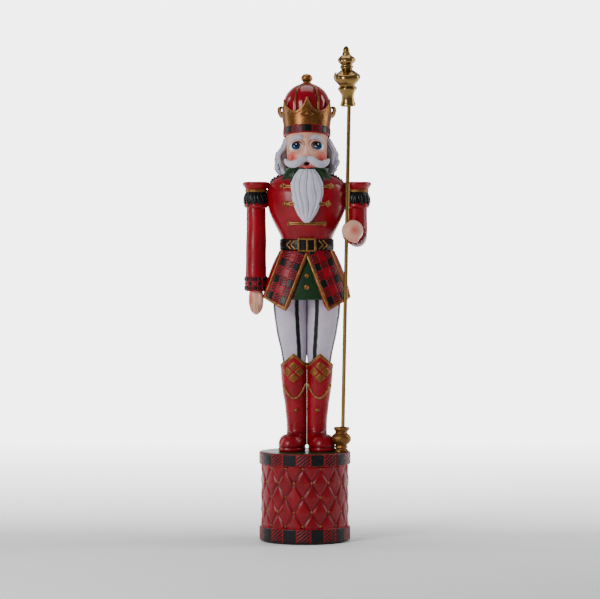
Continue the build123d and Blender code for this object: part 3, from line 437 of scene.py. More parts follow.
class Shader:
    """Small helpers for one material's nodes."""

    def __init__(self, name, slot):
        self.material = bpy.data.materials.new(name)
        self.material.use_nodes = True
        self.material["slot"] = slot
        self.tree = self.material.node_tree
        self.surface = self.tree.nodes["Principled BSDF"]
        self.place = self.tree.nodes.new("ShaderNodeTexCoord").outputs["Object"]

    def link(self, start, end):
        self.tree.links.new(start, end)

    def noise(self, scale, detail=4.0, rough=0.55, stretch=None):
        """Noise whose features are about 1000 / scale mm long."""
        node = self.tree.nodes.new("ShaderNodeTexNoise")
        node.inputs["Scale"].default_value = scale
        node.inputs["Detail"].default_value = detail
        node.inputs["Roughness"].default_value = rough
        place = self.place
        if stretch is not None:
            mapping = self.tree.nodes.new("ShaderNodeMapping")
            mapping.inputs["Scale"].default_value = stretch
            self.link(place, mapping.inputs["Vector"])
            place = mapping.outputs["Vector"]
        self.link(place, node.inputs["Vector"])
        return node.outputs["Fac"]

    def ramp(self, value, low, high, out_low=0.0, out_high=1.0):
        node = self.tree.nodes.new("ShaderNodeMapRange")
        node.inputs["From Min"].default_value = low
        node.inputs["From Max"].default_value = high
        node.inputs["To Min"].default_value = out_low
        node.inputs["To Max"].default_value = out_high
        self.link(value, node.inputs["Value"])
        return node.outputs["Result"]

    def attribute(self, name):
        node = self.tree.nodes.new("ShaderNodeAttribute")
        node.attribute_name = name
        return node.outputs["Fac"]

    def times(self, first, second):
        node = self.tree.nodes.new("ShaderNodeMath")
        node.operation = "MULTIPLY"
        self.link(first, node.inputs[0])
        if isinstance(second, float):
            node.inputs[1].default_value = second
        else:
            self.link(second, node.inputs[1])
        return node.outputs["Value"]

    def mix(self, factor, first, second):
        node = self.tree.nodes.new("ShaderNodeMix")
        node.data_type = "RGBA"
        self.link(factor, node.inputs["Factor"])
        for value, name in ((first, "A"), (second, "B")):
            socket = [s for s in node.inputs if s.name == name and s.type == "RGBA"][0]
            if isinstance(value, tuple):
                socket.default_value = value
            else:
                self.link(value, socket)
        return [s for s in node.outputs if s.type == "RGBA"][0]

    def pointiness(self):
        return self.tree.nodes.new("ShaderNodeNewGeometry").outputs["Pointiness"]

    def bump(self, height, depth_mm, before=None):
        node = self.tree.nodes.new("ShaderNodeBump")
        node.inputs["Strength"].default_value = 1.0
        node.inputs["Distance"].default_value = depth_mm * MM
        self.link(height, node.inputs["Height"])
        if before is not None:
            self.link(before, node.inputs["Normal"])
        return node.outputs["Normal"]


def paint(name, slot, base, shade, layers=(), shade_and_wash=None, edge=None, rough=(0.3, 0.5), metallic=0.0,
          coat=0.2, coat_rough=0.2, mottle=45.0, grain=0.05, brush=0.06, stretch=(1, 1, 0.25)):
    """Brushed resin paint: mottled base, painted layers from masks, hollows darkened as painted shade and
    antique wash, sharp edges lightened as painted highlight and wear.
    """
    s = Shader(name, slot)
    mottling = s.ramp(s.noise(mottle, 6.0, 0.6), 0.32, 0.68)
    colour = s.mix(mottling, base, shade)
    for mask, first, second in layers:
        layer_colour = s.mix(s.ramp(s.noise(mottle * 2.3, 5.0), 0.35, 0.65), first, second)
        colour = s.mix(s.attribute(mask), colour, layer_colour)
    sharp = s.pointiness()
    # Sharp edges, found by pointiness and broken up by noise, take the lighter edge colour: a painted
    # highlight, with some wear.
    if edge is not None:
        edge_highlight_and_wear = s.times(s.ramp(sharp, 0.505, 0.56), s.ramp(s.noise(220.0, 3.0), 0.35, 0.75))
        colour = s.mix(s.times(edge_highlight_and_wear, 0.75), colour, edge)
    # Hollows, found by pointiness and by the mask of marked grooves, take a darker colour: painted shade,
    # with some antique wash.
    if shade_and_wash is not None:
        hollow = s.ramp(sharp, 0.495, 0.44)
        colour = s.mix(s.times(hollow, 0.7), colour, shade_and_wash)
        colour = s.mix(s.times(s.attribute("shade_and_wash"), 0.75), colour, shade_and_wash)
    s.link(colour, s.surface.inputs["Base Color"])
    s.link(s.ramp(s.noise(mottle * 1.7, 5.0, 0.7), 0.3, 0.7, *rough), s.surface.inputs["Roughness"])
    s.surface.inputs["Metallic"].default_value = metallic
    s.surface.inputs["Specular IOR Level"].default_value = 0.2
    s.surface.inputs["Coat Weight"].default_value = 0.5 * coat
    s.surface.inputs["Coat Roughness"].default_value = coat_rough
    strokes = s.bump(s.noise(260.0, 3.0, 0.5, stretch), brush)
    s.link(s.bump(s.noise(900.0, 4.0, 0.6), grain, strokes), s.surface.inputs["Normal"])
    return s.material


# In each paint below, the colour given for hollows darkens them as painted shade and antique wash, and the
# edge colour lightens sharp edges as painted highlight and wear.
RED = paint("coat_red", "red_paint", srgb(148, 0, 24), srgb(120, 0, 17), shade_and_wash=srgb(32, 0, 6),
            edge=srgb(150, 14, 26), rough=(0.27, 0.4), coat=0.35, coat_rough=0.16, mottle=28.0)
DARK_RED = paint("strap_red", "red_paint", srgb(84, 0, 12), srgb(60, 0, 8), shade_and_wash=srgb(14, 0, 3),
                 edge=srgb(96, 10, 18), rough=(0.35, 0.5))
DRUM_RED = paint("drum_red", "drum_red_paint", srgb(134, 0, 20), srgb(108, 0, 14), shade_and_wash=srgb(36, 0, 7),
                 edge=srgb(136, 12, 22), rough=(0.3, 0.44), coat=0.3, mottle=35.0)
DOME_RED = paint("dome_red", "red_paint", srgb(144, 0, 24), srgb(112, 0, 16), shade_and_wash=srgb(30, 0, 7),
                 edge=srgb(150, 16, 28), rough=(0.12, 0.22), coat=0.7, coat_rough=0.07, mottle=30.0,
                 grain=0.02)
PLAID = paint("plaid_paint", "plaid_paint", srgb(148, 0, 24), srgb(120, 0, 17),
              layers=(("black", srgb(6, 9, 12), srgb(3, 4, 5)),), shade_and_wash=srgb(78, 0, 9), rough=(0.32, 0.5),
              coat=0.22)
BLACK = paint("black_paint", "black_paint", srgb(6, 8, 11), srgb(3, 4, 5), shade_and_wash=srgb(1, 1, 2),
              edge=srgb(24, 28, 34), rough=(0.28, 0.46), coat=0.3)
GREEN = paint("green_paint", "green_paint", srgb(20, 54, 24), srgb(12, 38, 16), shade_and_wash=srgb(4, 13, 6),
              edge=srgb(44, 82, 48), rough=(0.36, 0.52))
GOLD = paint("antique_gold", "gold_paint", srgb(138, 92, 46), srgb(104, 66, 30), shade_and_wash=srgb(38, 20, 9),
             edge=srgb(206, 158, 100), rough=(0.32, 0.46), metallic=0.7, coat=0.1, mottle=80.0, brush=0.1)
CROWN_GOLD = paint("crown_gold", "gold_paint", srgb(138, 90, 46), srgb(104, 64, 30), shade_and_wash=srgb(44, 22, 10),
                   edge=srgb(222, 172, 112), rough=(0.27, 0.4), metallic=0.8, coat=0.1, mottle=60.0,
                   brush=0.1, stretch=(0.3, 0.3, 1))
BRASS = paint("aged_brass", "staff_brass", srgb(150, 120, 72), srgb(132, 104, 60), shade_and_wash=srgb(40, 26, 12),
              edge=srgb(206, 176, 116), rough=(0.16, 0.27), metallic=1.0, coat=0.0, mottle=26.0, grain=0.02,
              brush=0.03)
ROD_BRASS = paint("rod_brass", "staff_brass", srgb(140, 112, 66), srgb(132, 104, 60), rough=(0.2, 0.26),
                  metallic=1.0, coat=0.0, mottle=12.0, grain=0.01, brush=0.02, stretch=(1, 1, 0.02))
SKIN = paint("skin_paint", "skin_paint", srgb(216, 164, 142), srgb(202, 148, 126),
             layers=(("blush", srgb(196, 48, 46), srgb(206, 66, 58)),
                     ("lip", srgb(198, 84, 84), srgb(184, 68, 70)),
                     ("dark", srgb(12, 8, 10), srgb(6, 5, 8))),
             shade_and_wash=srgb(104, 52, 40), rough=(0.3, 0.44), coat=0.3, mottle=40.0, brush=0.03)
HAIR = paint("hair_white", "white_paint", srgb(206, 205, 219), srgb(186, 185, 203), shade_and_wash=srgb(92, 86, 110),
             edge=srgb(232, 231, 240), rough=(0.38, 0.55), coat=0.12, mottle=50.0)
TROUSERS = paint("trouser_paint", "trouser_paint", srgb(200, 190, 206), srgb(178, 168, 188),
                 layers=(("black", srgb(5, 7, 10), srgb(10, 12, 16)),), shade_and_wash=srgb(84, 70, 92),
                 rough=(0.34, 0.5), coat=0.2, mottle=26.0)
EYE = paint("eye_paint", "eye_paint", srgb(222, 222, 230), srgb(204, 206, 218),
            layers=(("iris", srgb(12, 66, 104), srgb(5, 42, 74)), ("dark", srgb(3, 4, 8), srgb(4, 6, 12)),
                    ("glint", srgb(240, 246, 250), srgb(226, 238, 248))),
            rough=(0.08, 0.16), coat=0.8, coat_rough=0.05, mottle=120.0, grain=0.0, brush=0.0)
STEEL = paint("plated_steel", "steel", srgb(150, 152, 156), srgb(120, 122, 128), rough=(0.25, 0.4),
              metallic=1.0, coat=0.0)
WOOD = paint("beech_dowel", "wood", srgb(186, 148, 104), srgb(160, 120, 80), rough=(0.5, 0.7), coat=0.0,
             stretch=(1, 1, 0.1))
FELT = paint("felt_green", "felt", srgb(24, 44, 30), srgb(16, 32, 22), rough=(0.85, 0.98), coat=0.0,
             grain=0.35, brush=0.0)
IRON = paint("cast_iron", "cast_iron", srgb(52, 52, 54), srgb(36, 36, 38), rough=(0.55, 0.75), metallic=0.6,
             coat=0.0, grain=0.2)


def paint_cad(material, *nodes):
    """Put a material on CAD nodes that stay as they are."""
    for name in nodes:
        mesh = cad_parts[name].data
        mesh.materials.clear()
        mesh.materials.append(material)


# ---------------------------------------------------------------- drum
DIAMONDS = 15
STUD_ANGLE = math.radians(-92.6)
STUD_PITCH = TURN / DIAMONDS
STUD_ROWS = [32.4 + 26.8 * row for row in range(5)]
DRUM_RADIUS = 79.0
QUILT_LOW, QUILT_HIGH = 27.0, 145.0
QUILT_THICKNESS = 6.0
HOOP_INNER = 78.0
TOP_LEVEL = 166.4
# height and radius of the top plate's underside and rolled edge
TOP_EDGE = ((157.9, 0.3), (157.9, 78.9), (164.6, 78.95), (165.5, 82.6), (165.95, 83.0), (166.25, 82.2),
            (TOP_LEVEL, 76.0))


def round_upright(radius, angle, height):
    """Points round an upright axis through the origin, which is the drum's."""
    return np.stack(np.broadcast_arrays(radius * np.cos(angle), radius * np.sin(angle), height), axis=-1)


def make_drum():
    angle, height = np.meshgrid(turns(570), np.linspace(QUILT_LOW, QUILT_HIGH, 132))
    across = (angle - STUD_ANGLE) / STUD_PITCH
    up = (height - STUD_ROWS[0]) / (STUD_ROWS[2] - STUD_ROWS[0])
    first, second = (across + up) % 1.0, (across - up) % 1.0
    edge = np.minimum.reduce([first, 1 - first, second, 1 - second])
    rise = np.abs(first - second)
    spots = round_upright(DRUM_RADIUS, angle, height)
    puff = 2.7 * (1 - 0.86 * rise) * smooth(0.0, 0.17, edge) + 0.28 * waves(spots, 9.0)
    outer = round_upright(DRUM_RADIUS - 0.35 + puff, angle, height)
    inner = round_upright(DRUM_RADIUS - QUILT_THICKNESS, angle, height)
    quilt = Build()
    # The grooves between the quilted diamonds are marked for darkening: painted shade.
    quilt.shell(outer, inner, wrap_columns=True, masks={"shade_and_wash": 1 - smooth(0.0, 0.05, edge)})
    quilt.done("drum_quilting", DRUM_RED, replaces=["drum_shell"])

    studs = Build()
    for row, z in enumerate(STUD_ROWS):
        for step in range(DIAMONDS):
            angle = STUD_ANGLE + STUD_PITCH * (step + 0.5 * (row % 2))
            normal = np.array([math.cos(angle), math.sin(angle), 0.0])
            size = RNG.uniform(0.88, 1.12)
            outline = [(-1.2, 2.0 * size), (0.4, 2.35 * size), (1.3, 1.9 * size), (1.9, size), (2.1, 0.05)]
            lump = RNG.uniform(0, TURN)
            centre = (DRUM_RADIUS - 0.3) * normal + np.array([0.0, 0.0, z + RNG.uniform(-0.4, 0.4)])

            def lumpy(distance, turn):
                return 0.18 * np.sin(3 * turn + lump) + 0.12 * np.sin(5 * turn - lump + distance)

            turned(studs, outline, centre, normal, 12, 20, wobble=lumpy)
    studs.done("drum_stud_heads", GOLD, replaces=["drum_studs"])

    top = Build()
    flat = [(TOP_LEVEL, radius) for radius in np.linspace(70.0, 0.3, 26)]
    heights, radii = np.array([*TOP_EDGE, *flat]).T
    radii, angles = np.meshgrid(radii, turns(360), indexing="ij")
    heights = np.broadcast_to(heights[:, None], radii.shape)
    ripple = 0.45 * np.sin(9 * angles) + 0.3 * np.sin(23 * angles + 1) + 0.25 * np.sin(41 * angles)
    spots = round_upright(radii + (radii > DRUM_RADIUS) * ripple, angles, heights)
    spots[..., 2] += np.where(heights > 166, 0.22 * waves(spots, 11.0) - 0.1, 0.0)
    top.closed(spots)
    top.done("drum_top_paint", GREEN, replaces=["drum_top_plate"])


def hatch(along, up, period, jitter):
    """1 on black brush strokes that rise to the right, 0 on the red between them."""
    return smooth(-0.16, 0.16, np.sin(TURN * (0.86 * up - 0.62 * along) / period + jitter) + 0.05)


def square_mask(along_share, up_share, along_gap, up_gap, soft):
    """1 inside a square of the check and 0 in the gaps round it."""
    inside = np.minimum(
        np.minimum(along_share, 1 - along_share) - along_gap,
        (np.minimum(up_share, 1 - up_share) - up_gap),
    )
    return smooth(-soft, soft, inside)


def plaid_ring(name, node, radius, bottom, top, inner, squares, phase, columns, centre=(0, 0, 0), relief=0.7,
               period=5.4, round_edge=1.6, head=False, fade=0.0, rim_gap=0.06):
    """A hoop painted with alternate solid and hatched squares; fade darkens its foot to black as a painted
    contact shadow.
    """
    height = top - bottom
    face = np.linspace(0.0, 1.0, max(20, int(height / 0.55)))
    bend = np.linspace(0, math.pi / 2, 5)
    flat = radius - round_edge
    low, high = bottom + round_edge, top - round_edge
    profile = [(inner, bottom), (flat - 1.5, bottom), (flat, bottom)]
    profile += [(flat + round_edge * math.sin(b), low - round_edge * math.cos(b)) for b in bend[1:]]
    profile += [(radius, low + (high - low) * f) for f in face[1:-1]]
    profile += [(flat + round_edge * math.cos(b), high + round_edge * math.sin(b)) for b in bend]
    profile += [(flat - 1.5, top), (inner, top)]
    profile = np.array(profile)
    outer = profile[:, 0] > flat - 0.2
    angle = turns(columns)
    share = ((angle - phase) / TURN * squares) % (1.0 * squares)
    index = np.floor(share).astype(int)
    part = (share - index)[None, :]
    up = ((profile[:, 1] - bottom) / height)[:, None]
    side = TURN * radius / squares
    spots = round_upright(radius, angle[None], up * height)
    rough_edge = 0.02 * waves(spots, 3.0, 1)
    cells = square_mask(part + rough_edge, up + 0.5 * rough_edge, 0.035, rim_gap, 0.018)
    strokes = hatch(part * side, up * height, period, 0.9 * waves(spots, 8.0, 2))
    # When fade is set, the hatch strokes near the foot run together into black: part of the painted contact
    # shadow.
    strokes = np.maximum(strokes, smooth(fade, 0.0, up) if fade else 0.0)
    solid = (index % 2 == 1)[None, :]
    black = cells * np.where(solid, 1.0, strokes) * outer[:, None]
    # The foot is painted black, fading upward: a painted contact shadow under the drum.
    if fade:
        black = np.maximum(black, smooth(0.6 * fade, 0.0, up) * np.ones_like(part))
    outer = outer[:, None]
    grow = (relief * black * np.where(solid, 1.0, 0.55) + 0.18 * waves(spots, 6.0, 3)) * outer - 0.1
    radii = profile[:, 0][:, None] + np.where(outer, np.minimum(grow, relief), 0.0) - relief * outer
    ring = placed(round_upright(radii, angle, profile[:, 1][:, None]), centre, UPRIGHT)
    if head:
        ring = tilted(ring)
    # The red between the raised black strokes is marked for darkening: painted shade.
    masks = {"black": black, "shade_and_wash": 0.2 * cells * (1 - black)}
    build = Build()
    build.grid(ring, wrap_rows=True, wrap_columns=True, masks=masks)
    build.done(name, PLAID, replaces=[node])


def make_hoops():
    squares, columns = 20, 1040
    first = math.radians(-92 - 9)
    plaid_ring("upper_plaid_hoop", "upper_hoop", 84.7, 142.8, 165.8, HOOP_INNER, squares, first, columns)
    # The lower hoop's foot is painted black, fading upward, as a painted contact shadow.
    plaid_ring("lower_plaid_hoop", "lower_hoop", 84.3, 1.5, 29.4, HOOP_INNER, squares, first, columns,
               fade=0.32, round_edge=3.2)


# ---------------------------------------------------------------- boots and trousers
# rows of height, distance out from the midline, half width and half depth
BOOT_SHAFT = ((188, 18.2, 18.6, 22.6), (209, 18.2, 18.4, 20.2), (245, 19.6, 19.8, 20.0),
              (290, 22.8, 23.0, 22.5), (348, 24.3, 24.4, 24.0))
# rows of height, forward centre, half width, half depth and squareness
SOLE = ((165.9, 10.5, 22.4, 34.0, 2.5), (168.0, 10.5, 24.4, 36.2, 2.5), (172.5, 10.5, 24.6, 36.4, 2.5),
        (174.2, 10.5, 23.2, 35.0, 2.4))
TOE_CAP = ((173.0, 11.0, 23.4, 35.2, 2.3), (176.5, 11.0, 25.0, 36.4, 2.25), (183.0, 11.4, 24.6, 35.6, 2.2),
           (190.0, 12.0, 21.6, 31.0, 2.2), (196.0, 12.6, 15.6, 23.0, 2.1), (199.4, 13.0, 6.0, 9.0, 2.0))
SHAFT_MOUTH = 342.0
BOOT_PEAK = 348.0
TROUSER_LOW, TROUSER_HIGH = 323.0, 536.5
STRIPE_HALF_WIDTH = 3.9
FIRST_STRIPE = math.radians(113)
PEAK_SLOPE = 20.0 / 22.3
TROUSER_LEG = ((322, 22.8, 20.5, 19.5), (345, 23.6, 23.6, 23.0), (390, 28.0, 28.8, 29.0),
               (438, 31.0, 31.6, 33.0), (490, 28.5, 32.0, 34.0), (537, 21.5, 26.0, 33.0))


def leg_points(rows, heights, angle, side, grow=0.0):
    """Points on a leg. Angle 0 is outward and a quarter turn is the front."""
    heights, angle = np.broadcast_arrays(np.asarray(heights, float), np.asarray(angle, float))
    out = table(rows, heights, 1)
    half_width = table(rows, heights, 2) + grow
    half_depth = table(rows, heights, 3) + grow
    x = FIGURE_X + side * (out + half_width * np.cos(angle))
    return np.stack([x, FIGURE_Y - half_depth * np.sin(angle), heights], axis=-1)


def peak_height(x, side, drop=0.0):
    """Height of the boot's pointed edge at x, or of a line drop below it."""
    return BOOT_PEAK - drop - PEAK_SLOPE * np.abs(side * (x - FIGURE_X) - 24.5)


def clear_midline(points, side, gap=0.06):
    """Keep a leg's points on its own side of the figure's midline."""
    out = side * (points[..., 0] - FIGURE_X)
    points[..., 0] = FIGURE_X + side * np.maximum(out, gap)
    return points


def make_boot(name, side):
    build = Build()
    angle = turns(64)
    share = np.linspace(0, 1, 60)[:, None]
    ends = leg_points(BOOT_SHAFT, SHAFT_MOUTH, angle, side)
    tops = peak_height(ends[:, 0], side, 3.0)[None, :]
    build.closed(leg_points(BOOT_SHAFT, lerp(178.0, tops, share), angle, side, 0.9))
    centre = np.array([FIGURE_X + side * 26.0, FIGURE_Y, 0.0])
    heading = math.radians(7.0)
    forward = np.array([side * math.sin(heading), -math.cos(heading), 0.0])
    across = np.array([math.cos(heading), side * math.sin(heading), 0.0])

    def foot(rows):
        """Rows of height, forward centre, half width, half depth and squareness."""
        rows = np.array(rows)
        levels = np.linspace(rows[0, 0], rows[-1, 0], 34)
        sheet = []
        for level in levels:
            middle, half_width, half_depth, power = [table(rows, level, k) for k in (1, 2, 3, 4)]
            x, y = oval(angle, half_width, half_depth, power)
            spots = centre + x[:, None] * across + (middle + y[:, None]) * forward
            sheet.append(spots + np.array([0, 0, level]))
        build.closed(np.array(sheet))

    # the sole, then the toe cap with its rounded top, then the instep
    foot(SOLE)
    foot(TOE_CAP)
    build.ball(centre + forward * 16.0 + np.array([-side * 1.5, 0, 183.0]), (21.0, 24.0, 15.6))
    build.ball(centre + np.array([-side * 6.5, -3.0, 190.0]), (18.6, 25.0, 20.0))
    obj = remeshed(name + "_boot_casting", build, 1.0, 12)
    points = clear_midline(coords(obj), side)
    ups = normals(obj)
    points += ups * (0.32 * waves(points, 16.0, side) + 0.12 * waves(points, 5.0, 2))[:, None]
    forward = points[:, 1] - FIGURE_Y
    crease = bell(points[:, 2] - 206 - 0.25 * forward, 3.0) * smooth(4, -14, forward)
    points -= ups * (0.4 * crease)[:, None]
    points[:, 2] = np.maximum(points[:, 2], DRUM_TOP + 0.05)
    set_coords(obj, clear_midline(points, side))
    groove = bell(points[:, 2] - 174.4, 1.1)
    # The sole's groove and the ankle crease are marked for darkening: painted shade.
    set_mask(obj, "shade_and_wash", np.clip(groove + 0.5 * crease, 0, 1))
    finish_piece(obj, RED, replaces=[name + "_boot"])


# how far proud of the shaft and how far below its edge
BAND_PROFILE = ((-0.8, 0.0), (0.9, 0.0), (1.9, 1.2), (1.5, 2.6), (0.95, 3.5), (1.5, 4.4), (1.75, 5.6),
                (1.0, 6.9), (-0.8, 7.1))


def make_boot_trims():
    build = Build()
    for side in SIDES.values():
        angle = turns(260)
        profile = spline(BAND_PROFILE + BAND_PROFILE[:1], 31)[:-1]
        ends = leg_points(BOOT_SHAFT, SHAFT_MOUTH, angle, side)
        sheet = []
        for proud, drop in profile:
            z = peak_height(ends[:, 0], side, drop) + 0.25 * np.sin(7 * angle + drop)
            sheet.append(leg_points(BOOT_SHAFT, z, angle, side, proud))
        build.grid(clear_midline(np.array(sheet), side), wrap_rows=True, wrap_columns=True)
    # the little upright bit of gold where the two bands meet
    for depth in (-1, 1):
        x = FIGURE_X
        y = FIGURE_Y + depth * 8.0
        path = [(x, y, 329.0), (x, y + depth * 2.5, 324.0), (x, y + depth * 2.0, 317.5)]
        sweep(build, path, [3.6, 4.6, 2.4], [4.0, 5.0, 3.0], up=(0, 1, 0))
    build.done("boot_gold_bands", GOLD, replaces=["boot_trims"])


def shaft_front(out, z, side, grow=0.0):
    """The boot's front surface at a distance from the figure's midline."""
    middle = float(table(BOOT_SHAFT, z, 1))
    half_width = float(table(BOOT_SHAFT, z, 2)) + grow
    half_depth = float(table(BOOT_SHAFT, z, 3)) + grow
    share = np.clip((out - middle) / half_width, -0.995, 0.995)
    return np.array([FIGURE_X + side * out, FIGURE_Y - half_depth * math.sqrt(1 - share**2), z])


BOOT_MIDDLE = 24.6
BOOT_BUTTON = ((-1.0, 3.0), (0.6, 3.9), (1.8, 3.6), (2.8, 2.5), (3.3, 1.2), (3.5, 0.1))
SWAG_MIDDLE, SWAG_REACH = 23.0, 19.5
SWAG_LOW, SWAG_RISE = 264.5, 22.5
# sideways shift, height, half width and half height of each gold diamond
DIAMOND_SPOTS = ((0.0, 324.2, 10.4, 9.4), (-11.4, 313.4, 9.4, 10.0), (11.4, 313.4, 9.4, 10.0),
                 (0.0, 302.2, 11.4, 9.6))


def make_boot_ornaments():
    lozenges, rope, buttons = Build(), Build(), Build()
    for side in SIDES.values():
        for shift, z, half_width, half_height in DIAMOND_SPOTS:
            lattice = np.linspace(-1, 1, 25)
            top = np.zeros((25, 25, 3))
            base = top.copy()
            for i, a in enumerate(lattice):
                for j, b in enumerate(lattice):
                    out = BOOT_MIDDLE + shift + (a - b) / 2 * half_width
                    level = z + (a + b) / 2 * half_height
                    rim = smooth(1.0, 0.82, max(abs(a), abs(b)))
                    lump = 0.25 * waves((out, level, side), 4.0, 3)
                    top[i, j] = shaft_front(out, level, side, 0.25 + 1.3 * rim + lump)
                    base[i, j] = shaft_front(out, level, side, -1.2)
            lozenges.shell(top, base)
        swag = spline([
            shaft_front(SWAG_MIDDLE + SWAG_REACH * a, SWAG_LOW + SWAG_RISE * a * a, side, 1.4)
            for a in np.linspace(-1.02, 1.02, 60)], 150)
        along = unit(np.gradient(swag, axis=0))
        outward = unit(np.cross(along, (0, 0, 1.0)))
        other = np.cross(along, outward)
        wind = np.linspace(0, TURN * 8, 150)[:, None]
        for strand in range(3):
            phase = wind + strand * TURN / 3
            sweep(rope, swag + 0.95 * (np.cos(phase) * outward + np.sin(phase) * other), 2.3, 2.3, section=8)
        for tip in (swag[0], swag[-1]):
            for dx, dz, size in ((0.0, 0.6, 2.6), (1.2, -2.2, 1.9), (-1.4, 2.6, 1.7)):
                spot = tip + np.array([side * dx, -0.4, dz])
                rope.ball(spot, (size, size * 0.8, size), 12, 16)
        turned(buttons, BOOT_BUTTON, shaft_front(19.5, 242.0, side, -0.4), (0, -1, 0.05), 24, 36,
               wobble=lambda d, t: 0.15 * np.cos(3 * t + 0.5) + 0.08 * np.sin(7 * t))
    lozenges.done("boot_gold_diamonds", GOLD, replaces=["boot_diamonds"])
    rope.done("boot_rope_swags", GOLD, replaces=["boot_chains"])
    buttons.done("boot_gold_buttons", GOLD, replaces=["boot_buttons"])


def make_trousers():
    build = Build()
    for side in SIDES.values():
        angle = turns(300)[None, :]
        z = np.linspace(TROUSER_LOW, TROUSER_HIGH, 150)[:, None]
        points = leg_points(TROUSER_LEG, z, angle, side)
        width = TURN * (table(TROUSER_LEG, z, 2) + table(TROUSER_LEG, z, 3)) / 2
        black = np.zeros(points.shape[:2])
        # a quarter turn is the front; the stripes are a little inward of it and a quarter turn apart
        for quarter in range(4):
            middle = FIRST_STRIPE + quarter * TURN / 4
            away = np.abs((angle - middle + math.pi) % TURN - math.pi) / TURN * width
            edge = 0.5 * waves(points, 7.0, quarter)
            black = np.maximum(black, smooth(0.45, -0.45, away - STRIPE_HALF_WIDTH + edge))
        lift = 0.35 * black + 0.3 * waves(points, 22.0, side)
        points = raised(points, np.maximum(lift, -0.3))
        out = side * (points[..., 0] - FIGURE_X)
        # The legs are darker where they meet at the midline: painted shade between the legs.
        shade_and_wash = smooth(2.2, 0.2, np.abs(out)) * 0.9
        build.closed(points, {"black": black, "shade_and_wash": shade_and_wash})
    build.done("striped_trousers", TROUSERS, replaces=["trousers"])


# ---------------------------------------------------------------- coat
SKIRT = ((538, 47.5, 39.5), (515, 58.5, 46.0), (480, 71.0, 55.0), (425, 83.6, 66.0))
SKIRT_POWER = 2.5
COAT_OUT = 3.5
HEM = ((0.0, 527.0), (33.0, 437.5), (39.5, 427.5), (79.0, 449.5), (90.0, 455.0), (110.0, 456.0))


def skirt_point(out, z, grow):
    """The skirt's front surface at out from the midline, for arrays."""
    half_width = table(SKIRT, z, 1) + grow
    half_depth = table(SKIRT, z, 2) + grow
    share = np.clip(np.abs(out) / half_width, 0, 0.9995)
    depth = half_depth * (1 - share**SKIRT_POWER) ** (1 / SKIRT_POWER)
    return np.stack(np.broadcast_arrays(FIGURE_X + out, FIGURE_Y - depth, z), axis=-1)


def make_coat_skirt():
    angle = turns(420)[None, :]
    share = np.linspace(0, 1, 70)[:, None]
    hem = np.full(angle.shape, 480.0)
    corners = np.array(HEM)
    for _ in range(12):
        x, y = oval(angle, table(SKIRT, hem, 1) + COAT_OUT, table(SKIRT, hem, 2) + COAT_OUT, SKIRT_POWER)
        front = np.interp(np.abs(x), corners[:, 0], corners[:, 1])
        back = lerp(456.0, 450.0, smooth(10, 70, y))
        hem = lerp(hem, np.where(y < 0, front, back), 0.7)
    z = lerp(537.8, hem, share)

    def layer(grow):
        x, y = oval(angle, table(SKIRT, z, 1) + grow, table(SKIRT, z, 2) + grow, SKIRT_POWER)
        return np.stack([FIGURE_X + x, FIGURE_Y + y, z], axis=-1)

    behind = smooth(0.1, 0.9, np.sin(angle)) * share
    from_back = angle - math.pi / 2
    folds = 1.5 * behind * np.cos(9 * from_back) - 1.6 * behind * bell(from_back, 0.035)
    outer = raised(layer(COAT_OUT), folds + 0.3 * waves(layer(COAT_OUT), 18.0))
    build = Build()
    # The back vent's groove is marked for darkening: painted shade.
    vent = bell(from_back, 0.02) * np.ones_like(share)
    build.shell(outer, layer(0.2), wrap_columns=True, masks={"shade_and_wash": vent})
    build.done("coat_skirt_red", RED, replaces=["coat_skirt"])


def edge_frame(side):
    """The panel's outer edge: its top corner, the way down it, and the way across to the front."""
    top = np.array([side * 45.0, 538.0])
    bottom = np.array([side * 77.5, 453.0])
    down = unit(bottom - top)
    across = np.array([-side * abs(down[1]), -abs(down[0])])
    return top, down, across


PANEL_CORNERS = ((0.0, 535.0), (45.0, 538.0), (77.5, 453.0), (39.8, 432.0))
EDGING_CORNERS = ((0.4, 531.5), (39.9, 431.6), (77.6, 452.8), (45.4, 537.6))
EDGING_WIDTHS = (5.6, 4.2, 3.8)
CHECK_ACROSS = 12.6
CHECK_DOWN = 16.2
FIRST_ROW = 11.3


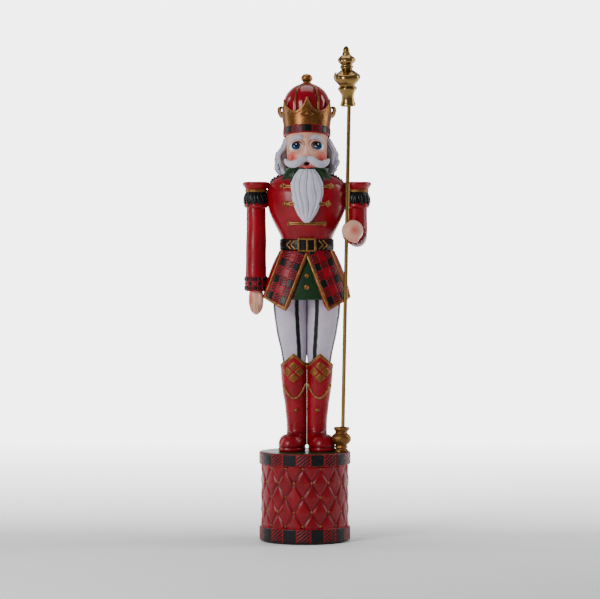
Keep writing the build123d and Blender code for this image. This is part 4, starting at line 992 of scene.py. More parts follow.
def make_panels():
    for name, side in SIDES.items():
        inner_top, outer_top, outer_low, inner_low = [np.array([side * c[0], c[1]]) for c in PANEL_CORNERS]
        a, b = np.meshgrid(np.linspace(0.015, 0.985, 92), np.linspace(0.0, 0.985, 180))
        a, b = a[..., None], b[..., None]
        flat = (1 - b) * ((1 - a) * inner_top + a * outer_top) + b * ((1 - a) * inner_low + a * outer_low)
        top, down, across = edge_frame(side)
        along = (flat - top) @ down
        inward = (flat - top) @ across - 2.6
        spots = np.stack([flat[..., 0], np.zeros(flat.shape[:2]), flat[..., 1]], axis=-1)
        wobble = 0.35 * waves(spots, 5.0, side)
        across_count = (inward + wobble) / CHECK_ACROSS
        down_count = (along - FIRST_ROW + wobble) / CHECK_DOWN
        column = np.floor(across_count)
        row = np.floor(down_count)
        part_across = across_count - column
        part_down = down_count - row
        black_column = column % 2 == 0
        black_row = row % 2 == 0
        solid = black_column & black_row
        cell = square_mask(part_across, part_down, 0.07, 0.05, 0.035)
        strokes = hatch(side * -inward, -along, 4.4, 0.8 * waves(spots, 7.0, 2))
        black = cell * np.where(solid, 1.0, np.where(black_column ^ black_row, strokes, 0.0))
        red_square = cell * (~black_column & ~black_row)
        lift = 0.55 * cell * np.where(solid, 1.0, 0.25) + 0.35 * black + 0.3 * red_square
        lift += 0.15 * waves(spots, 4.0, 5)
        grow = COAT_OUT + 1.6
        outer = skirt_point(flat[..., 0], flat[..., 1], grow)
        up = grid_normals(outer, False)
        if up[..., 1].mean() > 0:
            up = -up
        outer = outer + up * lift[..., None]
        inner = skirt_point(flat[..., 0], flat[..., 1], COAT_OUT - 1.0)
        build = Build()
        # The gaps between the raised checks are marked for darkening: painted shade.
        build.shell(outer, inner, masks={"black": black, "shade_and_wash": 0.15 * (1 - cell) * (1 - black)})
        build.done(name + "_plaid_relief", PLAID, replaces=[name + "_plaid_panel"])

    trims = Build()
    for side in SIDES.values():
        for start, end, width in zip(EDGING_CORNERS, EDGING_CORNERS[1:], EDGING_WIDTHS):
            share = np.linspace(0, 1, 46)
            out = lerp(start[0], end[0], share)
            z = lerp(start[1], end[1], share)
            path = skirt_point(side * out, z, COAT_OUT + 2.4)
            away = skirt_point(side * out, z, COAT_OUT + 6.0) - path
            wide = width * (1 + 0.06 * waves(path, 6.0))
            sweep(trims, path, wide, 3.4, up=unit(away), section=16, squareness=0.7)
            trims.ball(path[-1], (width * 0.5, 1.9, width * 0.5), 12, 16)
        trims.ball(skirt_point(0.0, 529.5, COAT_OUT + 2.6), (4.2, 2.2, 5.0), 16, 20)
    trims.done("coat_gold_edging", GOLD, replaces=["panel_trims"])


def make_waistcoat():
    b, a = np.meshgrid(np.linspace(0.0, 1.0, 60), np.linspace(-1, 1, 56), indexing="ij")
    z = lerp(530.0, 449.0, b)
    out = a * (1.0 + 36.0 * b)
    sag = 1.2 * (1 - a**2) * np.sin(math.pi * b)
    z = z - 1.4 * b**6 * (1 - a**2)
    outer = skirt_point(out, z, 0.8)
    outer[..., 1] -= sag + 0.25 * waves(outer, 14.0)
    inner = skirt_point(out, z, -2.6)
    build = Build()
    # The waistcoat's side edges, where it meets the plaid panels, are marked for darkening: painted shade.
    build.shell(outer, inner, masks={"shade_and_wash": 0.6 * smooth(0.84, 0.98, np.abs(a) * (1 + 0.05 * b))})
    build.done("waistcoat_green", GREEN, replaces=["waistcoat_panel"])
    buttons = Build()
    for height, radius in ((492.0, 4.4), (471.0, 5.1)):
        spot = skirt_point(np.array(0.0), np.array(height), 1.2)
        outline = [(-1.0, radius * 0.8), (0.8, radius), (2.2, radius * 0.92), (2.9, radius * 0.6),
                   (2.5, radius * 0.3), (2.0, 0.1)]
        turned(buttons, outline, spot, (0, -1, -0.12), 24, 36, wobble=lambda d, t: 0.15 * np.sin(2 * t + 1))
    buttons.done("waistcoat_gold_buttons", GOLD, replaces=["waistcoat_buttons"])


# ---------------------------------------------------------------- torso, belt and braid
# rows of height, half width, half depth and the depth of the middle
TORSO = ((538, 46.0, 37.0, 0.0), (560, 47.8, 39.0, 0.0), (585, 59.5, 44.5, 0.0), (610, 70.0, 49.5, 0.0),
         (632, 73.8, 51.0, 0.0), (650, 73.0, 48.0, 0.0), (664, 65.5, 41.0, 1.0), (674, 51.0, 33.0, 3.0),
         (681, 35.0, 26.0, 4.0))


def chest_point(out, z, grow):
    """The chest's front surface at out from the midline, grown outward."""
    half_width = table(TORSO, z, 1) + grow
    half_depth = table(TORSO, z, 2) + grow
    share = np.clip(np.abs(out) / half_width, 0, 0.9995)
    depth = half_depth * np.sqrt(1 - share**2)
    return np.stack(np.broadcast_arrays(FIGURE_X + out, FIGURE_Y + table(TORSO, z, 3) - depth, z), axis=-1)


def make_torso():
    angle = turns(300)
    heights = np.r_[np.linspace(538.5, 650, 90), np.linspace(650.6, 680.5, 44)]
    points = body_grid(TORSO, heights, angle)
    back_seam = -0.6 * bell(points[..., 0] - FIGURE_X, 1.1) * smooth(0.3, 0.8, np.sin(angle))[None, :]
    wave = 0.35 * waves(points, 30.0, 2)
    build = Build()
    # The back seam's groove is marked for darkening: painted shade.
    build.closed(raised(points, back_seam + wave), {"shade_and_wash": np.clip(-1.6 * back_seam, 0, 1)})
    build.done("coat_body_red", RED, replaces=["torso"])


BELT_LOW, BELT_MIDDLE, BELT_HIGH = 538.1, 548.5, 558.9
BUCKLE_FORWARD = 43.6
# share of the belt's height and how proud it is there: a rolled edge, a groove and a soft middle
BELT_PROFILE = np.array([(0.0, -1.2), (0.06, 0.0), (0.16, 0.15), (0.2, -0.15), (0.26, 0.1), (0.5, 0.2),
                         (0.74, 0.1), (0.8, -0.15), (0.84, 0.15), (0.94, 0.0), (1.0, -1.2)])
CHEVRON = ((-1.4, 8.4), (2.2, 4.2), (5.8, 0.3), (5.8, -0.3), (2.2, -4.2), (-1.4, -8.4))


def make_belt():
    angle = turns(300)[None, :]
    share = np.linspace(0, 1, 42)
    bulge = np.interp(share, BELT_PROFILE[:, 0], BELT_PROFILE[:, 1])[:, None]
    z = lerp(BELT_LOW, BELT_HIGH, share)[:, None]

    def band(half_width, half_depth):
        x, y = oval(angle, half_width, half_depth)
        return np.stack(np.broadcast_arrays(FIGURE_X + x, FIGURE_Y + y, z), axis=-1)

    spots = band(50.2 + bulge, 41.5 + bulge)
    build = Build()
    build.shell(raised(spots, 0.22 * waves(spots, 7.0)), band(46.0, 37.5), wrap_columns=True)
    build.done("belt_strap", BLACK, replaces=["belt"])

    gold = Build()
    front = FIGURE_Y - BUCKLE_FORWARD
    half_width, half_height, corner = 15.3, 11.2, 2.4
    ring = []
    for quarter, (sx, sz) in enumerate(((1, 1), (-1, 1), (-1, -1), (1, -1))):
        for bend in np.linspace(0, math.pi / 2, 7):
            turn = bend + quarter * math.pi / 2
            x = sx * (half_width - corner) + corner * math.cos(turn)
            z = sz * (half_height - corner) + corner * math.sin(turn)
            ring.append((FIGURE_X + x, front + 0.004 * x * x, BELT_MIDDLE + z))
    ring = np.array(ring + [ring[0]])
    ring = evenly(ring, 160, endpoint=False)
    wide = 4.4 + 0.25 * waves(ring, 6.0)
    sweep(gold, ring, wide, 3.4, up=FORWARD, section=16, squareness=0.75, closed=True)
    bar = np.array([(FIGURE_X + 0.6, front + 0.3, BELT_MIDDLE + z) for z in np.linspace(-11, 11, 24)])
    sweep(gold, bar, 4.0 + 0.3 * waves(bar, 5.0), 3.2, up=FORWARD, section=14, squareness=0.8)
    gold.done("belt_gold_buckle", GOLD, replaces=["belt_buckle"])

    chevrons = Build()
    for side in SIDES.values():
        for out in (23.4, 31.0):
            path = []
            for across, z in spline([(out + shift, rise) for shift, rise in CHEVRON], 40):
                y = 41.9 * math.sqrt(1 - (across / 50.8) ** 2)
                path.append((FIGURE_X + side * across, FIGURE_Y - y, BELT_MIDDLE + z))
            path = np.array(path)
            up = unit(path - np.array([FIGURE_X, FIGURE_Y, BELT_MIDDLE]))
            up[:, 2] = 0
            sweep(chevrons, path, 3.0, 2.2, up=unit(up), section=10, squareness=0.85)
    chevrons.done("belt_gold_chevrons", GOLD, replaces=["belt_chevrons"])


def cord_loop(build, centre, normal, radius, thickness, stretch=1.0, lean=0.0):
    """A flat loop of round braid lying against the chest."""
    side = unit(np.cross(normal, (0, 0, 1.0)))
    other = np.cross(side, normal)
    turn = turns(36)[:, None]
    first = math.cos(lean) * side + math.sin(lean) * other
    second = -math.sin(lean) * side + math.cos(lean) * other
    path = centre + radius * (stretch * np.cos(turn) * first + np.sin(turn) * second)
    sweep(build, path, thickness, thickness, up=normal, section=10, closed=True)


def braid(build, side, inner, outer, height):
    """A frog: two cords side by side out to a knot of three loops round a ball."""
    for rise in (-1.7, 1.7):
        out = np.linspace(inner, outer - 4.0, 26)
        sag = rise + 0.5 * np.sin(out / 2.2 + rise)
        sweep(build, chest_point(side * out, height + sag, 1.0), 2.9, 2.9, up=FORWARD, section=10)
    centre = chest_point(np.array(side * (outer - 2.0)), np.array(height), 1.0)
    normal = unit(centre - np.array([FIGURE_X, FIGURE_Y, height]))
    for lean, shift in ((0.0, (2.6, 0.0)), (2.1, (-0.6, 2.4)), (-2.1, (-0.6, -2.4))):
        spot = centre + np.array([side * shift[0], 0.0, shift[1]])
        cord_loop(build, spot, normal, 2.1, 2.3, 1.35, lean)
    build.ball(centre + normal * 1.3, (2.1, 1.9, 2.1), 14, 18)


BAR_HEIGHT = 588.0
# height, inner end and outer end of the two rows of frogs
FROGS = ((656.0, 24.0, 46.5), (624.0, 19.0, 41.0))


def make_braid():
    frogs = Build()
    for height, inner, outer in FROGS:
        for side in SIDES.values():
            braid(frogs, side, inner, outer, height)
    frogs.done("coat_gold_frogs", GOLD, replaces=["coat_frogs"])
    bar = Build()
    for rise in (-1.6, 1.6):
        out = np.linspace(-31, 31, 60)
        sweep(bar, chest_point(out, BAR_HEIGHT + rise + 0.3 * np.sin(out / 3), 1.0), 3.2, 3.0, up=FORWARD)
    for side in SIDES.values():
        centre = chest_point(np.array(side * 31.5), np.array(BAR_HEIGHT), 1.2)
        normal = unit(centre - np.array([FIGURE_X, FIGURE_Y, BAR_HEIGHT]))
        for petal in range(4):
            lean = petal * TURN / 4 + 0.75
            spot = centre + np.array([math.cos(lean) * 2.5, 0.0, math.sin(lean) * 2.5])
            cord_loop(bar, spot, normal, 1.7, 2.2, 1.2, lean)
        bar.ball(centre + normal * 1.2, (1.9, 1.8, 1.9), 14, 18)
    bar.done("coat_gold_bar", GOLD, replaces=["coat_bar"])


def make_ruffle():
    """Black pointed leaves along the back edge of both shoulders."""
    build = Build()
    for side in SIDES.values():
        for share in np.linspace(0.0, 1.0, 15):
            z = lerp(681.0, 655.0, share**1.3)
            half_width = float(table(TORSO, z, 1))
            half_depth = float(table(TORSO, z, 2))
            y = 8.0 + 6.0 * share
            out = half_width * math.sqrt(max(0.0, 1 - (y / half_depth) ** 2))
            base = np.array([FIGURE_X + side * out, FIGURE_Y + float(table(TORSO, z, 3)) + y, z])
            lean = np.array([side * RNG.uniform(-0.1, 0.7), RNG.uniform(-0.35, 0.25), 0.75])
            size = RNG.uniform(5.2, 7.2)
            reach = unit(lean) * size
            path = spline([
                base - lean * 2.5,
                base + reach * 0.4,
                base + reach * 0.8 + np.array([side * 0.8, 0, 0.2]),
                base + reach + np.array([side * 1.6, -0.4, -0.3]),
            ], 14)
            taper = np.sin(np.linspace(0.75, math.pi - 0.08, 14))
            sweep(build, path, 6.4 * taper + 0.2, 3.6 * taper + 0.2, up=(0, 1, 0), section=10)
    build.done("shoulder_black_ruffle", BLACK, replaces=["shoulder_ruffle"])


def make_straps():
    """A soft dark red strap over each shoulder from the collar to the epaulette."""
    build = Build()
    for side in SIDES.values():
        share = np.linspace(0, 1, 40)
        z = lerp(679.0, 652.0, share**1.6)
        out = table(TORSO, z, 1) * 0.985 + 0.6
        path = np.stack([FIGURE_X + side * out, FIGURE_Y + 3.0 + 2.0 * share, z], axis=-1)
        up = unit(np.stack([side * (0.4 + share), 0 * share, 1.0 - 0.5 * share], axis=-1))
        sweep(build, path, 13.0 + 2.0 * np.sin(math.pi * share), 3.4, up=up, section=20, squareness=0.8)
    build.done("shoulder_straps", DARK_RED)


def leaf(build, root, tip, width, normal, bend, lean=0.0, thickness=3.4):
    """A pointed, veined collar leaf from root to tip."""
    root, tip, normal = np.array(root, float), np.array(tip, float), unit(normal)
    share = np.linspace(0, 1, 30)[:, None]
    path = root + (tip - root) * share + normal * bend * np.sin(math.pi * share)
    body = np.sin(np.linspace(0.35, math.pi - 0.05, 30)) ** 0.8
    side = unit(np.cross(tip - root, normal))
    path = path + side * lean * np.sin(math.pi * share)
    sweep(build, path, width * body, thickness * body + 0.3, up=normal, section=22,
          flutes=lambda t, s: 1 - 0.16 * bell(np.sin(t) - 1.0, 0.06) * np.ones_like(s))


COLLAR = ((660, 33.0, 29.0, 2.0), (672, 36.0, 34.0, -1.0), (684, 39.5, 37.5, -3.0), (691, 41.5, 39.0, -3.0))


def face_point(out, forward, z):
    return np.array([FIGURE_X + out, FIGURE_Y - forward, z])


def make_collar():
    build = Build()
    angle = turns(200)
    heights = np.linspace(662, 690.5, 26)
    ring = body_grid(COLLAR, heights, angle)
    inner = body_grid(COLLAR, heights, angle, grow=-3.5)
    build.shell(raised(ring, 0.4 * waves(ring, 9.0)), inner, wrap_columns=True)
    for side in SIDES.values():
        outer_root, outer_tip = face_point(side * 17.0, 37.0, 686.0), face_point(side * 45.0, 27.0, 668.5)
        inner_root, inner_tip = face_point(side * 15.0, 36.0, 690.0), face_point(side * 30.0, 38.0, 664.0)
        leaf(build, outer_root, outer_tip, 16.0, (side * 0.35, -1.0, 0.45), 4.0, -side * 2.0)
        leaf(build, inner_root, inner_tip, 15.0, (side * 0.2, -1.0, 0.2), 3.5, side * 1.0)
    build.done("collar_green_leaves", GREEN, replaces=["collar"])


# ---------------------------------------------------------------- arms
RIGHT_SHOULDER = np.array([FIGURE_X - ARM_X, FIGURE_Y, 0.0])
LEFT_SHOULDER = np.array([FIGURE_X + ARM_X, FIGURE_Y, 0.0])
FIST_CENTRE = np.array([87.0, -62.0, 575.0])
FIST_RADIUS = 20.2
STAFF_FOOT = np.array([69.6, -18.0, 174.0])
STAFF_DIRECTION = unit(np.array([6.2, -42.0, 366.0]))
ROD_RADIUS = 3.7


def on_staff(distance):
    """A point on the staff's line, that distance up from its foot."""
    return STAFF_FOOT + STAFF_DIRECTION * distance


def tube(build, path, radii, columns):
    """A round tube with a closed end at each end and radii along it."""
    path = np.asarray(path, float)
    along = unit(np.gradient(path, axis=0))
    first = unit(np.cross(along, (1.0, 0.0, 0.0)))
    second = np.cross(along, first)
    angle = turns(columns)
    ring = np.cos(angle)[None, :, None] * first[:, None] + np.sin(angle)[None, :, None] * second[:, None]
    points = path[:, None] + ring * np.asarray(radii)[..., None].reshape(len(path), -1, 1)
    build.closed(points)


# height and radius of the rolled seam round the top of each sleeve
SLEEVE_ROLL = ((615.5, 16.5), (617, 20.6), (620.5, 22.2), (624, 21.6), (628, 17.0))
SLEEVE = ((486, 19.6), (510, 19.3), (560, 18.8), (600, 18.3), (628, 17.6), (647, 17.0))
SLEEVE_TOP = 647.0
ELBOW_HEIGHT = 562.0
# places of the bent sleeve from the left shoulder's foot
BENT_SLEEVE = ((0, 0, SLEEVE_TOP), (0, 2.0, 615.0), (0, 6.0, 590.0), (0, 8.0, 572.0), (-0.5, 0.0, 563.0),
               (-1.5, -16.0, 562.5))


def make_sleeves():
    """Both sleeves; returns the left wrist and the way from it to the fist."""
    build = Build()
    z = np.linspace(SLEEVE[0][0], SLEEVE_TOP, 130)[:, None]
    angle = turns(96)[None, :]
    wave = 0.35 * np.sin(z / 23.0 + 2 * np.cos(angle)) + 0.2 * np.sin(z / 9 + 3 * np.sin(angle + 1))
    build.closed(RIGHT_SHOULDER + round_upright(table(SLEEVE, z) + wave - 0.3, angle, z))
    turned(build, SLEEVE_ROLL, RIGHT_SHOULDER, UPRIGHT, 40, 96,
           wobble=lambda d, t: 0.35 * np.sin(5 * t) + 0.2 * np.sin(9 * t + 1))
    build.done("right_sleeve_red", RED, replaces=["right_sleeve"])

    build = Build()
    reach = unit(FIST_CENTRE - (LEFT_SHOULDER + np.array([0, 10.0, ELBOW_HEIGHT])))
    wrist = FIST_CENTRE - reach * (FIST_RADIUS + 2.0)
    path = [LEFT_SHOULDER + np.array(spot) for spot in BENT_SLEEVE]
    path = spline(path + [wrist - reach * 18.0, wrist - reach * 12.0], 120)
    share = np.linspace(0, 1, 120)[:, None]
    crease = bell(share - 0.62, 0.035) + 0.6 * bell(share - 0.53, 0.03)
    inside = smooth(-0.2, 0.9, np.sin(angle - math.pi / 2))
    radius = 16.6 + smooth(0, 0.6, share) - 0.9 * crease * inside + 0.2 * np.sin(share * 21 + 2 * angle)
    tube(build, path, np.minimum(radius + 0.6, 18.2), 96)
    turned(build, SLEEVE_ROLL, LEFT_SHOULDER, UPRIGHT, 40, 96,
           wobble=lambda d, t: 0.35 * np.sin(5 * t + 2) + 0.2 * np.sin(9 * t))
    build.done("left_sleeve_red", RED, replaces=["left_sleeve"])
    return wrist, reach


def cuff(name, node, bottom, top, radius, origin, axis):
    """Two rows of black bumps with a checked row between."""
    squares, rows, rim = 15, 3, 0.22
    height = top - bottom
    up = np.linspace(0, 1, 60)[:, None]
    rolled = np.clip((np.abs(up - 0.5) - 0.42) / 0.08, 0, 1)
    round_off = 2.0 * (1 - np.sqrt(np.clip(1 - rolled**2, 0, 1)))
    angle = turns(420)
    share = (angle / TURN * squares)[None, :]
    level = np.clip((up * (rows + 2 * rim) - rim), -rim, rows + rim)
    row = np.clip(np.floor(level), 0, rows - 1)
    part_up = level - row
    column = np.floor(share)
    part = share - column
    spots = round_upright(radius, angle[None], up * height)
    wobble = 0.05 * waves(spots, 2.6, 4)
    cell = square_mask(part + wobble, part_up + wobble, 0.1, 0.1, 0.09) * (level > -0.02) * (level < 3.02)
    middle = row == 1
    strokes = hatch(part * 8.5, part_up * 8.0, 3.6, 0.5 * waves(spots, 4.0, 1))
    even = column % 2 == 0
    dark = np.where(middle, np.where(even, 1.0, 0.0), np.where(even, 0.85, 1.0))
    black = cell * np.where(middle & ~even, strokes * 0.7, dark)
    lift = 1.7 * cell * np.where(middle, 0.3, 1.0) + 0.4 * waves(spots, 3.0, 2) * cell
    ring = round_upright(radius - 2.0 - round_off + lift, angle, bottom + height * up)
    build = Build()
    # The gaps between the cuff's raised bumps are marked for darkening: painted shade.
    shade_and_wash = 0.2 * (1 - cell) * (level > 0) * (level < rows)
    build.closed(placed(ring, origin, axis), {"black": black, "shade_and_wash": shade_and_wash})
    build.done(name, PLAID, replaces=[node])


def cut_bore(obj, radius):
    """Clear the staff's way through a piece."""
    build = Build()
    tube(build, [on_staff(d) for d in np.linspace(-14.0, 520.0, 8)], np.full(8, radius), 48)
    cutter = make_object("cutter", np.concatenate(build.verts), build.faces)
    fix_normals(cutter)
    fix_normals(obj)
    carve = obj.modifiers.new("bore", "BOOLEAN")
    carve.operation = "DIFFERENCE"
    carve.object = cutter
    carve.solver = "EXACT"
    apply_modifiers(obj)
    bpy.data.objects.remove(cutter)
    shade_smooth(obj.data)


HAND = ((418, 1.5, 1.5, 0.0), (421, 6.0, 5.5, 0.0), (427, 10.6, 9.2, 0.0), (436, 13.2, 11.0, 0.0),
        (448, 14.0, 11.2, 0.0), (464, 12.2, 10.4, 0.0))
THUMB = ((7.0, -6.0, 458.0), (8.5, -8.5, 447.0), (6.5, -9.6, 437.0))
THUMB_RADII = (4.4, 4.9, 5.0, 5.0, 4.9, 4.8, 4.7, 4.6, 4.5, 4.3, 4.0, 3.6, 2.9, 1.6)
FINGER_GAPS = (-6.4, -0.4, 5.6)


def make_hands(wrist, reach):
    cuff("right_cuff_plaid", "right_cuff", 462.0, 491.0, 22.6, RIGHT_SHOULDER, UPRIGHT)
    cuff("left_cuff_plaid", "left_cuff", -17.0, 0.0, 22.4, wrist, reach)

    build = Build()
    heights = np.r_[418.0, 418.4, np.linspace(419.5, 464.0, 50)]
    body = body_grid(HAND, heights, turns(48))
    body[..., 0] += RIGHT_SHOULDER[0] - FIGURE_X
    build.closed(body)
    thumb = spline([RIGHT_SHOULDER + np.array(spot) for spot in THUMB], len(THUMB_RADII))
    tube(build, thumb, THUMB_RADII, 24)
    obj = remeshed("right_hand_casting", build, 0.8, 6)
    points = coords(obj)
    ups = normals(obj)
    local = points - RIGHT_SHOULDER
    fingers = np.zeros(len(points))
    z = points[:, 2]
    for out in FINGER_GAPS:
        fingers += bell(local[:, 0] - out, 0.8) * smooth(446, 436, z) * smooth(420, 425, z)
    points = points - ups * (0.55 * fingers)[:, None] + ups * (0.15 * waves(points, 7.0))[:, None]
    set_coords(obj, points)
    blush = 0.85 * smooth(5.0, 12.0, -local[:, 0] + 1.5 * np.sin(points[:, 2] / 5))
    blush += 0.5 * bell(points[:, 2] - 424, 5) * smooth(1, 8, np.abs(local[:, 0]))
    set_mask(obj, "blush", np.clip(blush, 0, 0.75))
    # The grooves between the fingers are marked for darkening: painted shade.
    set_mask(obj, "shade_and_wash", np.clip(0.4 * fingers, 0, 1))
    finish_piece(obj, SKIN, replaces=["right_hand"])

    build = Build()
    build.ball(FIST_CENTRE, (19.9, 19.4, 19.7), 40, 56)
    build.ball(FIST_CENTRE + np.array([4.0, -3.0, -12.5]), (9.0, 9.5, 10.0), 20, 28)
    tube(build, [wrist - reach * 6.0, wrist, FIST_CENTRE - reach * 4.0], [13.0, 13.0, 13.0], 40)
    obj = remeshed("left_fist_casting", build, 0.8, 9)
    points = coords(obj)
    set_coords(obj, points + normals(obj) * (0.18 * waves(points, 8.0))[:, None])
    cut_bore(obj, ROD_RADIUS + 0.4)
    local = coords(obj) - FIST_CENTRE
    blush = 0.7 * bump(local[:, 0], local[:, 2], 3, 1, 9, 8) * smooth(0, -10, local[:, 1])
    blush += 0.4 * smooth(-10, -20, local[:, 2])
    set_mask(obj, "blush", np.clip(blush, 0, 0.7))
    finish_piece(obj, SKIN, replaces=["left_hand"])


# height and radius
PAD = ((650.6, 15.0), (650.8, 19.0), (652.2, 20.6), (655.6, 23.0), (659.0, 24.9), (661.6, 25.1),
       (663.8, 23.6), (664.9, 19.0), (664.7, 8.0), (664.3, 0.2))
GOLD_BAND = ((645.6, 15.0), (645.8, 19.8), (646.8, 20.6), (648.2, 20.2), (649.4, 20.7), (650.8, 20.0),
             (651.4, 15.0))
# locks in the ring, how far they reach out, and the height of their tips
FRINGE_RINGS = ((19, 22.3, 622.5), (17, 20.8, 618.5))
FRINGE_TOP = 646.4


def make_epaulettes():
    caps, bands, fringe = Build(), Build(), Build()
    for side in SIDES.values():
        centre = LEFT_SHOULDER if side > 0 else RIGHT_SHOULDER
        turned(caps, PAD, centre, UPRIGHT, 70, 128,
               wobble=lambda d, t: 0.2 * np.sin(4 * t + side) + 0.12 * np.sin(7 * t + d / 3))
        turned(bands, GOLD_BAND, centre, UPRIGHT, 40, 128, wobble=lambda d, t: 0.12 * np.sin(26 * t))
        for ring, (count, reach, low) in enumerate(FRINGE_RINGS):
            for step in range(count):
                angle = TURN * (step + 0.5 * ring) / count + RNG.uniform(-0.05, 0.05)
                swing = RNG.uniform(-0.16, 0.16)
                bottom = low + RNG.uniform(-3.0, 4.0)
                radii = ((0.0, 17.4), (0.2, 19.4), (0.45, 21.6 - ring),
                         (0.7, reach + 0.5), (0.88, reach + 0.9), (1.0, reach - 0.2))
                path = []
                for share, radius in radii:
                    turn = angle + swing * share + 0.05 * math.sin(6.5 * share + step)
                    z = lerp(FRINGE_TOP, bottom, share)
                    path.append(centre + np.array([radius * math.cos(turn), radius * math.sin(turn), z]))
                path = spline(path, 26)
                share = np.linspace(0, 1, 26)
                taper = np.clip(np.sin(np.clip(share * 0.86 + 0.2, 0, 1) * math.pi) ** 0.7, 0.03, 1)
                radial = unit(path - (centre + np.array([0, 0, 1]) * path[:, 2:3]))
                radial[:, 2] = 0
                sweep(fringe, path, 8.4 * taper, 4.4 * taper, up=unit(radial), section=12,
                      flutes=lambda t, s: 1 - 0.13 * np.abs(np.sin(2.5 * t)) * np.ones_like(s))
    caps.done("epaulette_red_pads", RED, replaces=["epaulette_caps"])
    bands.done("epaulette_gold_bands", GOLD, replaces=["epaulette_bands"])
    fringe.done("epaulette_black_fringe", BLACK, replaces=["epaulette_fringes"])


# ---------------------------------------------------------------- head, made upright and then tilted
HEAD = ((668, 24.0, 24.0, 4.0), (678, 29.0, 32.0, 0.0), (690, 33.5, 38.5, -2.5), (704, 36.5, 41.0, -3.0),
        (720, 37.8, 41.5, -2.0), (738, 38.6, 41.5, 0.0), (750, 39.0, 41.0, 1.0))
EYE_OUT = 19.6
EYE_FORWARD = 25.6
EYEBALL_WIDE, EYEBALL_TALL, EYEBALL_DEEP = 12.2, 10.6, 11.2
IRIS_RADIUS = 7.5
EYE_Z = 724.0
EYE_WIDE = 10.6
EYE_TALL = 7.8


def bump(x, z, at_x, at_z, wide, tall):
    """1 at a spot, falling off smoothly over wide and tall."""
    return np.exp(-((x - at_x) / wide) ** 2 - ((z - at_z) / tall) ** 2)


def almond(out, z):
    """0 at an eye's middle and 1 on its lids' edge; the outer corner is a little lower."""
    x = (np.abs(out) - EYE_OUT) / EYE_WIDE
    y = (z - EYE_Z + 0.12 * (np.abs(out) - EYE_OUT)) / EYE_TALL
    y = np.where(y > 0, y / 1.02, y / 0.92)
    return np.sqrt(np.abs(x) ** 2.2 + np.abs(y) ** 1.9)


# height, distance from the midline, level, and spread sideways and upwards
FEATURES = (
    (5.2, 0, 706.5, 4.6, 5.2),  # tip of the nose
    (4.6, 0, 714.0, 3.6, 9.0),  # its bridge
    (1.8, 0, 728.0, 4.6, 11.0),  # its root
    (2.4, 5.0, 704.8, 2.7, 3.0),  # nostril wings
    (-1.9, 2.9, 701.6, 1.3, 1.1),  # nostrils
    (3.8, 26.5, 705.5, 9.5, 8.5),  # cheeks
    (1.3, 18.0, 737.0, 12.0, 4.0),  # brow ridges
    (-1.8, 13.0, 716.5, 6.0, 5.0),  # inner corners of the eyes
)
MOUTH_Z = 689.6


